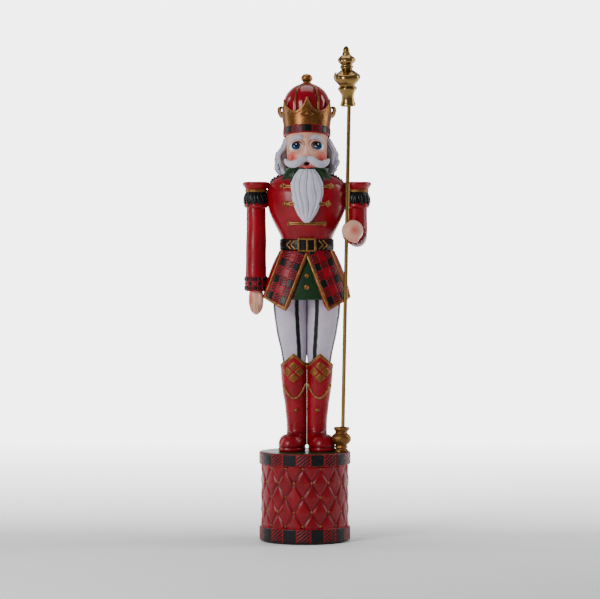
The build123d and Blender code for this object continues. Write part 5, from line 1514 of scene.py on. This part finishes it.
def make_head():
    # more columns at the front, where the features are
    even = np.linspace(0, 1, 400, endpoint=False)
    angle = TURN * even + 0.62 * np.sin(TURN * even - math.pi / 2) - math.pi / 2
    heights = np.linspace(668.5, 750.0, 170)
    points = body_grid(HEAD, heights, angle)
    out = points[..., 0] - FIGURE_X
    z = points[..., 2]
    front = smooth(-4.0, -20.0, points[..., 1] - FIGURE_Y)
    near = np.abs(out)
    lift = sum(height * bump(near, z, *spot) for height, *spot in FEATURES)
    shut = almond(out, z)
    lift -= 1.6 * bell(shut - 0.9, 0.9)
    upper = smooth(-1.0, 2.0, z - EYE_Z)
    lift += (1.0 + 1.1 * upper) * bell(shut - 1.22, 0.16)
    lift -= 0.7 * upper * bell(shut - 1.55, 0.09)
    lift -= 5.5 * smooth(1.06, 0.93, shut)
    mouth = np.sqrt((out / 6.0) ** 2 + ((z - MOUTH_Z) / 3.2) ** 2)
    lift -= 6.0 * smooth(1.1, 0.7, mouth)
    lip = bump(out, z, 0, 684.0, 10.4, 3.4)
    lift += 3.4 * lip - 1.2 * bump(out, z, 0, 678.0, 7.0, 1.6)
    lift = lift * front + 0.12 * waves(points, 9.0)
    blush = 1.15 * bump(near, z, 27.0, 704.5, 8.6, 8.2) + 0.25 * bump(out, z, 0, 705.5, 5.0, 3.5)
    lid_line = bell(shut - 1.05, 0.085) * smooth(-2.0, 2.0, z - EYE_Z)
    nostril = 0.8 * bump(near, z, 2.9, 701.8, 1.0, 0.8)
    dark = np.maximum.reduce([smooth(1.02, 0.8, mouth), lid_line, nostril])
    # The lid creases, the lid edges and the creases beside the nostril wings are marked for darkening:
    # painted shade.
    shade_and_wash = 0.35 * bell(shut - 1.55, 0.1) + 0.4 * bump(near, z, 8.2, 704.0, 1.2, 3.5)
    shade_and_wash += 0.25 * bell(shut - 1.05, 0.1)
    masks = {"blush": (blush, 0.9), "lip": (1.9 * lip, 1), "dark": (dark, 1), "shade_and_wash": (shade_and_wash, 1)}
    build = Build()
    build.closed(tilted(raised(points, lift)),
                 {key: np.clip(value * front, 0, most) for key, (value, most) in masks.items()})
    build.done("head_face", SKIN, replaces=["head"])

    eyes = Build()
    for side in SIDES.values():
        centre = face_point(side * EYE_OUT, EYE_FORWARD, EYE_Z)
        gaze = unit(np.array([side * 0.08 - 0.03, -1.0, 0.10]))
        right = unit(np.cross(gaze, (0, 0, 1.0)))
        rise = np.cross(right, gaze)
        polar = np.r_[np.linspace(0.004, 1.15, 90), np.linspace(1.2, 3.1, 26)][:, None]
        around = turns(120)[None, :]
        x = np.sin(polar) * np.cos(around)
        y = np.sin(polar) * np.sin(around)
        w = np.cos(polar) + 0 * around
        across, up = EYEBALL_WIDE * x, EYEBALL_TALL * y
        ball = centre + across[..., None] * right + up[..., None] * rise + EYEBALL_DEEP * w[..., None] * gaze
        distance = np.sqrt(across**2 + (up - 0.6) ** 2)
        iris = smooth(IRIS_RADIUS + 0.4, IRIS_RADIUS, distance)
        rays = 0.5 + 0.5 * np.sin(34 * around)
        pupil = smooth(4.6, 4.1, np.sqrt(across**2 + (up - 1.6) ** 2))
        ring = smooth(0.9, 0.2, np.abs(distance - IRIS_RADIUS)) * 0.85
        shadow = 0.9 * smooth(2.0, 6.4, up) * iris
        dark = np.maximum.reduce([pupil, ring, shadow, 0.25 * rays * iris * smooth(3.2, 6.0, distance)])
        glint = smooth(1.25, 0.95, np.sqrt((across + 0.9) ** 2 + (up - 2.6) ** 2))
        glint += 0.5 * smooth(0.9, 0.5, np.sqrt((across - 2.4) ** 2 + (up + 2.0) ** 2))
        seen = w > 0.2
        masks = {"iris": iris, "dark": dark * seen, "glint": np.clip(glint, 0, 1) * seen}
        eyes.closed(tilted(ball), masks)
    eyes.done("painted_eyes", EYE, replaces=["eyes"])


def strand(build, path, width, height, up, ridges=5.0, depth=0.14, count=50, wander=0.0, section=24,
           tip=0.06):
    """A lock of hair on the leaning head: a fat sweep with grooves along it, pinched at its tip."""
    path = tilted(spline(path, count))
    share = np.linspace(0, 1, count)
    pinch = np.sqrt(np.clip(1 - ((share - 0.35) / 0.66) ** 2 * (share > 0.35), 0, 1))
    taper = np.minimum(smooth(-0.35, 0.28, share) ** 0.8, 1.0) * np.clip(pinch, tip, 1)
    sweep(build, path, width * taper, height * taper, up=up, section=section,
          flutes=lambda t, s: 1 - depth * np.abs(np.sin(ridges * t / 2 + wander * s)) ** 1.5)


# places out from the midline, forward and up
LOW_BROW = ((7.4, 40.6, 737.0), (12.5, 40.4, 739.6), (19.0, 37.4, 739.8), (26.0, 32.4, 736.4),
            (31.5, 26.0, 730.8))
HIGH_BROW = ((8.0, 41.2, 739.4), (14.0, 41.0, 742.2), (20.5, 37.8, 741.6), (26.0, 33.4, 738.6))
MOUSTACHE = ((1.0, 46.5, 699.0), (8.0, 47.6, 696.6), (15.5, 47.0, 691.4), (23.0, 44.6, 688.2),
             (30.5, 40.0, 689.2), (37.0, 33.6, 694.4), (40.6, 28.0, 701.6))
BEARD = ((589.5, 3.4, 2.4, -53.2), (592, 6.8, 5.0, -52.4), (600, 13.2, 8.6, -50.4),
         (622, 23.8, 12.8, -46.4), (645, 30.0, 15.4, -41.8), (668, 27.4, 16.4, -38.2),
         (680, 21.0, 15.4, -37.0), (688, 14.0, 12.0, -36.0))


def make_face_hair():
    brows, moustache = Build(), Build()
    up = (0, -1, 0.1)
    for side in SIDES.values():
        low = [face_point(side * x, f, z) for x, f, z in LOW_BROW]
        strand(brows, low, 8.6, 6.0, up, ridges=6.0, wander=0.8)
        high = [face_point(side * x, f, z) for x, f, z in HIGH_BROW]
        strand(brows, high, 5.0, 5.0, up, wander=0.6)
    brows.done("eyebrow_tufts", HAIR, replaces=["eyebrows"])

    for side in SIDES.values():
        main = [face_point(side * x, f, z) for x, f, z in MOUSTACHE]
        strand(moustache, main, 13.6, 9.4, FORWARD, ridges=9.0, depth=0.1, wander=1.6 * side,
               count=70, section=48, tip=0.05)
        top = [face_point(side * x, f + 1.6, z + 3.0 - 0.06 * x) for x, f, z in MOUSTACHE[:-1]]
        strand(moustache, top, 5.4, 5.2, up, count=60, tip=0.05)
        low = [face_point(side * (x + 1), f + 1.2, z - 3.6 + 0.05 * x) for x, f, z in MOUSTACHE[:-1]]
        strand(moustache, low, 5.4, 5.0, up, count=60, tip=0.05)
    moustache.done("moustache_sweeps", HAIR, replaces=["moustache"])

    # the beard is cast over the chest and doesn't lean with the head
    beard = Build()
    heights = np.r_[589.6, 590.2, np.linspace(591.2, 687.5, 150)]
    angle = turns(420)
    points = body_grid(BEARD, heights, angle)
    z = heights[:, None]
    wander = np.sin(z / 17.0 + 0.8 * np.sin(3 * angle[None, :]))
    turn = angle[None, :] + 0.13 * wander * smooth(588, 640, z)
    groove = np.abs(np.sin(13.0 * turn / 2.0)) ** 0.75
    fine = np.abs(np.sin(39.0 * turn / 2.0 + 0.5 * np.sin(z / 9))) ** 0.8
    fade = smooth(588.0, 612.0, z)
    lift = (1.9 * groove - 1.3) * (0.3 + 0.7 * fade) + 0.35 * fine * fade
    # The beard's grooves are marked for darkening: painted shade.
    beard.closed(raised(points, lift), {"shade_and_wash": smooth(0.42, 0.1, groove) * 0.5 * (0.3 + 0.7 * fade)})
    beard.done("beard_waves", HAIR, replaces=["beard"])


HAIR_ROWS = ((672, 40.0, 30.0, 16.0), (684, 50.0, 36.0, 16.0), (700, 54.0, 39.0, 15.0),
             (716, 52.0, 39.0, 13.0), (732, 44.6, 36.0, 10.0), (749, 38.8, 33.5, 6.5))
# turn, top, bottom, width and curl of each long lock, from the temple to the back
LOCKS = ((-0.40, 742, 697, 9.5, 0.6), (-0.26, 745, 684, 10.5, 1.0), (-0.12, 746, 690, 11.0, 0.9),
         (0.02, 747, 680, 11.5, 1.1), (0.18, 747, 686, 11.5, 0.8), (0.34, 748, 676, 11.0, 1.0),
         (0.52, 748, 681, 11.0, 0.8), (0.72, 748, 674, 11.0, 0.8), (0.94, 748, 679, 11.0, 0.7),
         (1.18, 748, 673, 11.0, 0.7), (1.42, 748, 677, 11.0, 0.6))
SIDE_CURLS = ((-0.18, 724, 704), (0.0, 734, 716), (0.1, 712, 692), (-0.3, 708, 690))


def make_hair():
    build = Build()
    angle = np.linspace(-0.36, math.pi + 0.36, 240)
    heights = np.linspace(674.0, 749.0, 90)
    base = body_grid(HAIR_ROWS, heights, angle)
    z = heights[:, None]
    wave = np.sin(17 * angle[None, :] + 1.3 * np.sin(z / 8.0))
    wave = wave + 0.5 * np.sin(39 * angle[None, :] + 1.5 * np.sin(z / 6.0 + 1))
    outer = raised(base, 0.9 * wave, False)
    inner = body_grid(HAIR_ROWS, heights, angle, grow=-12.0)
    # The troughs between the hair's waves are marked for darkening: painted shade.
    build.shell(tilted(outer), tilted(inner), masks={"shade_and_wash": np.clip(0.35 - 0.3 * wave, 0, 0.6)})

    def lock(turn, top, bottom, wide, sway, curl, proud, drift=0.0):
        """One wavy lock from under the hat band down the side or back, ending in a small curl."""
        path = []
        for share in np.linspace(0, 1, 9):
            z = lerp(top, bottom, share)
            at = turn + drift * share + sway * math.sin(7.2 * share + 3.0 * turn)
            grow = proud + 2.2 * math.sin(5.4 * share + turn)
            path.append(body_grid(HAIR_ROWS, [z], np.array([at]), grow)[0, 0])
        out = unit(path[-1] - np.array([FIGURE_X, FIGURE_Y + 10, path[-1][2]]))
        path.append(path[-1] + out * 2.6 * curl + np.array([0, 0, -1.2]))
        path.append(path[-1] + out * 1.6 * curl + np.array([0, 0, 2.2]))
        strand(build, path, wide, wide * 0.62, (math.cos(turn), math.sin(turn), 0), depth=0.17, wander=1.5,
               section=20, tip=0.12)

    for mirror in (1, -1):
        for turn, top, bottom, wide, curl in LOCKS:
            at = turn if mirror > 0 else math.pi - turn
            bottom += RNG.uniform(-2, 2)
            drift = mirror * RNG.uniform(-0.08, 0.05)
            lock(at, top, bottom, wide + 2.5, 0.05 * mirror, 0.45 * curl, proud=1.6, drift=drift)
        # short curls that stand out from the sides
        for turn, top, bottom in SIDE_CURLS:
            at = turn if mirror > 0 else math.pi - turn
            lock(at, top, bottom, 11.5, 0.05 * mirror, 0.5, proud=2.8)
    build.done("hair_wavy_locks", HAIR, replaces=["hair"])


# ---------------------------------------------------------------- hat
CROWN_POINTS = 6
CROWN_LOW = 764.0
CROWN_DIP = 788.6
CROWN_TOP = 813.8
DOME_RADIUS = 42.6
DOME_CENTRE = 807.0
DOME_FOOT = 784.0
AXIS = np.array([FIGURE_X, FIGURE_Y, 0.0])


def crown_height(angle):
    """Height of the crown's edge: six points with scoops between them."""
    share = ((angle + math.pi / 2) / TURN * CROWN_POINTS) % 1.0
    away = np.clip(np.abs(1 - 2 * share), 0, 1)
    return CROWN_DIP + (CROWN_TOP - CROWN_DIP) * (1 - np.clip(1 - away**2.1, 0, 1) ** 0.66)


def crown_radius(z):
    """The crown widens upwards."""
    return table(((762, 43.0), (770, 43.7), (785, 45.9), (800, 48.0), (815, 49.6)), z)


def around_axis(angle, radius, z):
    """Points round the figure's upright axis."""
    return AXIS + round_upright(radius, angle, z)


# radius and height along the curled leaves at the crown's sides; then their lean, reach, width and thickness
EAR_PATH = ((46.0, 785.5), (48.4, 789.0), (50.6, 794.0), (51.8, 799.0), (51.4, 803.0), (48.6, 804.6),
            (46.6, 803.0))
EAR_LEAVES = ((0.0, 0.0, 11.5, 7.0), (0.12, -1.6, 8.0, 5.0), (-0.12, -1.6, 8.0, 5.0))
KNOB = ((847.5, 5.0), (849.2, 7.4), (851.2, 7.6), (852.8, 6.9), (855.2, 9.0), (859.5, 10.7), (863.6, 9.6),
        (867.2, 6.0), (868.8, 0.2))
MEDALLION_MIDDLE = 782.5
# shift across and up, size, and how far out each bead of a medallion sits
BEADS = ((0.0, 0.0, 3.0, 1.4), (-6.2, 0.0, 1.15, 0.7), (6.2, 0.0, 1.15, 0.7), (0.0, 4.3, 1.15, 0.7),
         (0.0, -4.3, 1.15, 0.7))


def make_hat():
    squares = 14
    first = math.radians(-90 - 180 / squares)
    plaid_ring("hat_plaid_band", "hat_band", 44.4, 749.0, 765.0, 36.0, squares, first, 760, AXIS,
               relief=0.6, period=4.2, head=True, round_edge=1.8, rim_gap=0.1)
    ring = Build()
    angle = turns(600)
    share = np.linspace(0, 1, 60)[:, None]
    tops = crown_height(angle)[None, :]
    z = lerp(CROWN_LOW, tops - 0.8, share)
    spots = around_axis(angle[None, :], crown_radius(z), z)
    hammered = 0.22 * waves(spots, 7.0, 2) + 0.12 * waves(spots, 3.0, 1)
    step = 0.8 * smooth(4.6, 3.6, tops - z)
    outer = around_axis(angle[None, :], crown_radius(z) + hammered + step, z)
    inner = around_axis(angle[None, :], crown_radius(z) - 3.4, z)
    # The groove at the foot of the raised band under the crown's edge is marked for darkening: painted shade.
    shade_and_wash = smooth(1.2, 0.2, np.abs(tops - z - 4.6)) * 0.6
    ring.shell(tilted(outer), tilted(inner), wrap_columns=True, masks={"shade_and_wash": shade_and_wash})
    path = around_axis(angle, crown_radius(crown_height(angle)) - 1.2, crown_height(angle))
    path = evenly(np.r_[path, path[:1]], len(path), endpoint=False)
    path = (np.roll(path, 1, 0) + path * 2 + np.roll(path, -1, 0)) / 4
    radial = unit((path - AXIS) * np.array([1, 1, 0]))
    thick = 3.9 + 0.25 * waves(path, 5.0)
    sweep(ring, tilted(path), thick, thick, up=tilted(path + radial) - tilted(path), section=16, closed=True)
    ring.done("crown_gold_ring", CROWN_GOLD, replaces=["crown_ring"])

    medallions = Build()
    half_width, half_height, bend_radius = 13.2, 8.6, 44.0
    for turn in (-math.pi / 2, math.pi / 2):
        a, b = np.meshgrid(np.linspace(-1, 1, 41), np.linspace(-1, 1, 41), indexing="ij")
        at = turn + (a - b) / 2 * half_width / bend_radius
        level = MEDALLION_MIDDLE + (a + b) / 2 * half_height
        edge = np.maximum(np.abs(a), np.abs(b))
        height = smooth(1.0, 0.86, edge) + 1.3 * bell(edge - 0.84, 0.1) + 0.3 * smooth(0.5, 0.0, edge)
        outer = around_axis(at, crown_radius(level) + height + smooth(1.0, 0.9, edge), level)
        inner = around_axis(at, crown_radius(level) - 1.0, level)
        # The hollow inside each medallion's raised rim is marked for darkening: painted shade.
        medallions.shell(tilted(outer), tilted(inner), masks={"shade_and_wash": 0.7 * bell(edge - 0.66, 0.08)})
        for across, rise, size, out in BEADS:
            level = np.array(MEDALLION_MIDDLE + rise)
            place = around_axis(turn + across / bend_radius, crown_radius(level) + 1.0 + out, level)
            medallions.closed(tilted(ellipsoid_points(place, (size, size, size), 18, 24)))
    # a curled leaf stands out on each side of the crown
    for side in SIDES.values():
        for lean, reach, width, thick in EAR_LEAVES:
            turn = (0.0 if side > 0 else math.pi) + side * lean
            path = [around_axis(turn, radius + reach, z) for radius, z in EAR_PATH]
            strand(medallions, path, width, thick, (side, 0, 0.35), ridges=4.0, depth=0.1,
                   count=40, section=20, tip=0.35)
    medallions.done("crown_gold_medallions", CROWN_GOLD, replaces=["crown_medallions"])

    dome = Build()
    angle = turns(320)
    polar = np.linspace(0.02, math.pi / 2, 100)[::-1]
    wall = np.linspace(DOME_FOOT, DOME_CENTRE, 24)[:-1]
    turn, rise = np.meshgrid(angle, np.r_[wall - DOME_CENTRE, DOME_RADIUS * np.cos(polar)])
    reach = np.meshgrid(angle, np.r_[np.ones(len(wall)), np.sin(polar)])[1]
    rib = np.abs(((turn + math.pi / 2) / TURN * CROWN_POINTS) % 1.0 - 0.5) * TURN / CROWN_POINTS
    pinch = 1.5 * bell(rib, 0.1) * smooth(0.1, 0.5, reach)
    points = around_axis(turn, (DOME_RADIUS - pinch) * reach, DOME_CENTRE + rise)
    points = points + 0.15 * waves(points, 12.0)[..., None]
    # The pinched grooves under the gold ribs are marked for darkening: painted shade.
    dome.closed(tilted(points), {"shade_and_wash": 0.5 * bell(rib, 0.06)})
    dome.done("crown_red_dome", DOME_RED, replaces=["crown_dome"])

    ribs = Build()
    for step in range(CROWN_POINTS):
        turn = -math.pi / 2 + TURN * (step + 0.5) / CROWN_POINTS
        polar = np.linspace(math.pi / 2, 0.12, 64)
        wall = np.linspace(CROWN_DIP - 2.0, DOME_CENTRE, 14)[:-1]
        reach = np.r_[np.ones(len(wall)), np.sin(polar)] * (DOME_RADIUS - 0.2)
        rise = np.r_[wall, DOME_CENTRE + DOME_RADIUS * np.cos(polar)]
        path = around_axis(turn, reach, rise)
        outward = path - around_axis(0.0, 0.0, np.minimum(rise, DOME_CENTRE))
        wide = 3.7 + 0.2 * waves(path, 5.0)
        up = tilted(path + unit(outward)) - tilted(path)
        sweep(ribs, tilted(path), wide, 3.2, up=up, section=20, squareness=0.9,
              flutes=lambda t, s: 1 - 0.2 * bell(np.sin(t) - 1.0, 0.05) * np.ones_like(s))
    ribs.done("crown_gold_ribs", CROWN_GOLD, replaces=["crown_ribs"])

    knob = Build()
    turned(knob, KNOB, AXIS, UPRIGHT, 60, 64,
           wobble=lambda d, t: 0.35 * np.sin(2 * t + 0.6) + 0.18 * np.sin(5 * t + d))
    knob.verts = [tilted(points) for points in knob.verts]
    knob.done("crown_gold_knob", CROWN_GOLD, replaces=["crown_knob"])


# ---------------------------------------------------------------- staff
# distance along the axis and radius
POT = ((0.0, 12.2), (2.6, 12.6), (5.2, 12.0), (6.4, 10.4), (8.4, 11.6), (10.6, 11.4), (12.0, 10.4),
       (16.0, 13.8), (22.0, 17.4), (27.0, 17.9), (32.0, 15.0), (35.4, 11.2), (38.0, 11.4), (42.0, 14.4),
       (45.0, 14.5), (46.0, 13.4), (45.4, 11.4), (43.6, 10.2), (42.2, 9.6), (42.0, 4.0))
FINIAL = ((0.0, 10.0), (0.6, 12.8), (2.5, 14.0), (5.0, 13.6), (8.0, 12.4), (14.5, 11.2), (22.0, 12.0),
          (28.0, 15.0), (32.6, 17.4), (34.8, 17.2), (36.6, 14.4), (40.0, 16.0), (46.0, 21.6), (52.0, 24.8),
          (56.0, 24.2), (61.0, 18.4), (65.0, 13.0), (67.6, 9.8), (69.4, 11.4), (71.5, 12.5), (73.5, 11.4),
          (76.0, 10.6), (79.0, 13.4), (84.0, 16.6), (88.0, 15.2), (91.6, 11.4), (95.0, 7.4), (97.3, 7.6),
          (99.3, 5.8), (102.6, 6.2), (106.6, 4.6), (109.6, 2.4), (110.8, 0.3))
FREE_LEAF = ((44.0, 17.0), (50.0, 21.5), (56.0, 23.4), (60.5, 22.6), (63.0, 20.6), (62.0, 19.0))
STAFF_SHAFT = 631.5
POT_SHIFT = -2.2
FINIAL_SHIFT = -1.8


def make_staff():
    def dents(distance, turn):
        foot_dents = 0.5 * np.sin(2 * turn + distance * 0.8) * smooth(13, 9, distance)
        return 0.35 * np.sin(3 * turn + distance / 4) + 0.2 * np.sin(7 * turn - distance / 3) + foot_dents

    pot = Build()
    foot = np.array([STAFF_FOOT[0] + POT_SHIFT, STAFF_FOOT[1], DRUM_TOP])
    turned(pot, POT, foot, UPRIGHT, 150, 128, wobble=dents)
    obj = make_object("staff_gold_pot", np.concatenate(pot.verts), pot.faces)
    cut_bore(obj, ROD_RADIUS + 0.15)
    finish_piece(obj, GOLD, replaces=["staff_socket"])

    finial = Build()
    start = on_staff(STAFF_SHAFT) + np.array([FINIAL_SHIFT, 0.0, 0.0])
    lean = math.radians(3.0)
    side = unit(np.cross((0, 1, 0), STAFF_DIRECTION))
    axis = unit(STAFF_DIRECTION * math.cos(lean) - side * math.sin(lean))

    def leaves(distance, turn):
        big = bell(distance - 50, 9.5) * (2.2 * np.abs(np.sin(3 * turn + 0.4)) ** 0.6 - 1.8)
        small = bell(distance - 83, 6.0) * (1.5 * np.abs(np.sin(2.5 * turn)) ** 0.6 - 1.0)
        cup = 0.35 * bell(distance - 30, 7.0) * np.sin(6 * turn)
        lobes = big + small + cup + 0.15 * np.sin(4 * turn + distance / 5)
        return lobes * smooth(0.0, 3.0, distance) * smooth(110, 104, distance)

    turned(finial, spline(FINIAL, 240), start, axis, 240, 160, wobble=leaves)
    first = unit(np.cross(axis, (0.0, 1.0, 0.0)))
    second = np.cross(axis, first)
    # one leaf of the big bulb curls free
    out = first * 0.96 + second * 0.28
    path = [start + axis * distance + out * radius for distance, radius in FREE_LEAF]
    taper = np.sin(np.linspace(0.5, math.pi - 0.3, 40))
    sweep(finial, spline(path, 40), 8.0 * taper, 4.0 * taper, up=out, section=18)
    finial.done("staff_brass_finial", BRASS, body="staff", replaces=["staff_finial"])
    paint_cad(ROD_BRASS, "staff_rod", "staff_foot_plug")


# ---------------------------------------------------------------- build everything
make_drum()
make_hoops()
for boot_name, boot_side in SIDES.items():
    make_boot(boot_name, boot_side)
make_boot_trims()
make_boot_ornaments()
make_trousers()
make_coat_skirt()
make_panels()
make_waistcoat()
make_torso()
make_belt()
make_braid()
make_ruffle()
make_straps()
make_collar()
wrist_point, wrist_reach = make_sleeves()
make_hands(wrist_point, wrist_reach)
make_epaulettes()
make_head()
make_face_hair()
make_hair()
make_hat()
make_staff()
paint_cad(FELT, "felt_pad")
paint_cad(WOOD, "base_plate", "arm_dowels", "neck_dowel")
paint_cad(STEEL, "base_screws", "leg_rods", "rod_nuts_and_washers")
paint_cad(IRON, "ballast_weight")


# ---------------------------------------------------------------- floor, light and camera
FLOOR_END, FLOOR_BEND, FLOOR_EDGE = 9.0, 4.0, 18.0  # metres
PAPER_GLOW = 4.4


def make_stage():
    """A pale floor that curves up into a wall far behind, so that no edge shows."""
    profile = [(y, 0.0) for y in (-FLOOR_EDGE, -3.0, 0.0, 2.0, FLOOR_END)]
    for turn in np.linspace(0, math.pi / 2, 24)[1:]:
        profile.append((FLOOR_END + FLOOR_BEND * math.sin(turn), FLOOR_BEND - FLOOR_BEND * math.cos(turn)))
    profile.append((FLOOR_END + FLOOR_BEND, FLOOR_EDGE))
    verts = [(x, y, z) for y, z in profile for x in (-FLOOR_EDGE, FLOOR_EDGE)]
    faces = [(2 * k, 2 * k + 1, 2 * k + 3, 2 * k + 2) for k in range(len(profile) - 1)]
    mesh = bpy.data.meshes.new("studio_floor")
    mesh.from_pydata(verts, [], faces)
    shade_smooth(mesh)
    floor = bpy.data.objects.new("studio_floor", mesh)
    bpy.context.scene.collection.objects.link(floor)
    floor.location.z = -0.0003
    shader = Shader("studio_paper", "")
    shader.surface.inputs["Base Color"].default_value = srgb(250, 250, 250)
    shader.surface.inputs["Roughness"].default_value = 0.95
    shader.surface.inputs["Emission Color"].default_value = (1.0, 1.0, 1.0, 1.0)
    # only the patch of paper far behind the object glows, so that it hardly lights the object itself
    split = shader.tree.nodes.new("ShaderNodeSeparateXYZ")
    shader.link(shader.place, split.inputs["Vector"])
    sideways = shader.tree.nodes.new("ShaderNodeMath")
    sideways.operation = "ABSOLUTE"
    shader.link(split.outputs["X"], sideways.inputs[0])
    behind = shader.ramp(split.outputs["Y"], 0.1, 2.4, 0.0, PAPER_GLOW)
    beside = shader.ramp(sideways.outputs["Value"], 2.0, 3.4, 1.0, 0.0)
    above = shader.ramp(split.outputs["Z"], 2.1, 3.4, 1.0, 0.0)
    glow = shader.times(shader.times(behind, beside), above)
    shader.link(glow, shader.surface.inputs["Emission Strength"])
    mesh.materials.append(shader.material)


def softbox(name, place, aim, size, power):
    """A rectangular area light that faces aim; places in metres and power in watts."""
    light = bpy.data.lights.new(name, "AREA")
    light.shape = "RECTANGLE"
    light.size, light.size_y = size
    light.energy = power
    lamp = bpy.data.objects.new(name, light)
    bpy.context.scene.collection.objects.link(lamp)
    lamp.location = place
    lamp.rotation_euler = (Vector(aim) - Vector(place)).to_track_quat("-Z", "Y").to_euler()


make_stage()
softbox("key", (-1.5, -1.9, 1.25), (0, 0, 0.5), (0.8, 1.3), 44.0)
softbox("rim_right", (1.35, 0.25, 0.95), (0, 0, 0.55), (0.35, 1.5), 12.0)
softbox("rim_left", (-1.35, 0.55, 0.8), (0, 0, 0.5), (0.3, 1.4), 7.0)
softbox("top", (0.0, 0.3, 2.0), (0, 0, 0.5), (1.0, 1.0), 9.0)

world = bpy.data.worlds.new("studio")
bpy.context.scene.world = world
world.use_nodes = True
backdrop = world.node_tree.nodes["Background"]
backdrop.inputs["Color"].default_value = srgb(246, 246, 248)
backdrop.inputs["Strength"].default_value = 0.24

# a long lens from six metres, a little above the waist and looking slightly down
camera = bpy.data.cameras.new("camera")
camera.lens = 194.6
camera.sensor_width = 36.0
eye_place = Vector((-0.009, -6.0, 0.640))
aim_place = Vector((-0.009, 0.0, 0.447))
camera_object = bpy.data.objects.new("camera", camera)
bpy.context.scene.collection.objects.link(camera_object)
camera_object.location = eye_place
camera_object.rotation_euler = (aim_place - eye_place).to_track_quat("-Z", "Y").to_euler()
bpy.context.scene.camera = camera_object
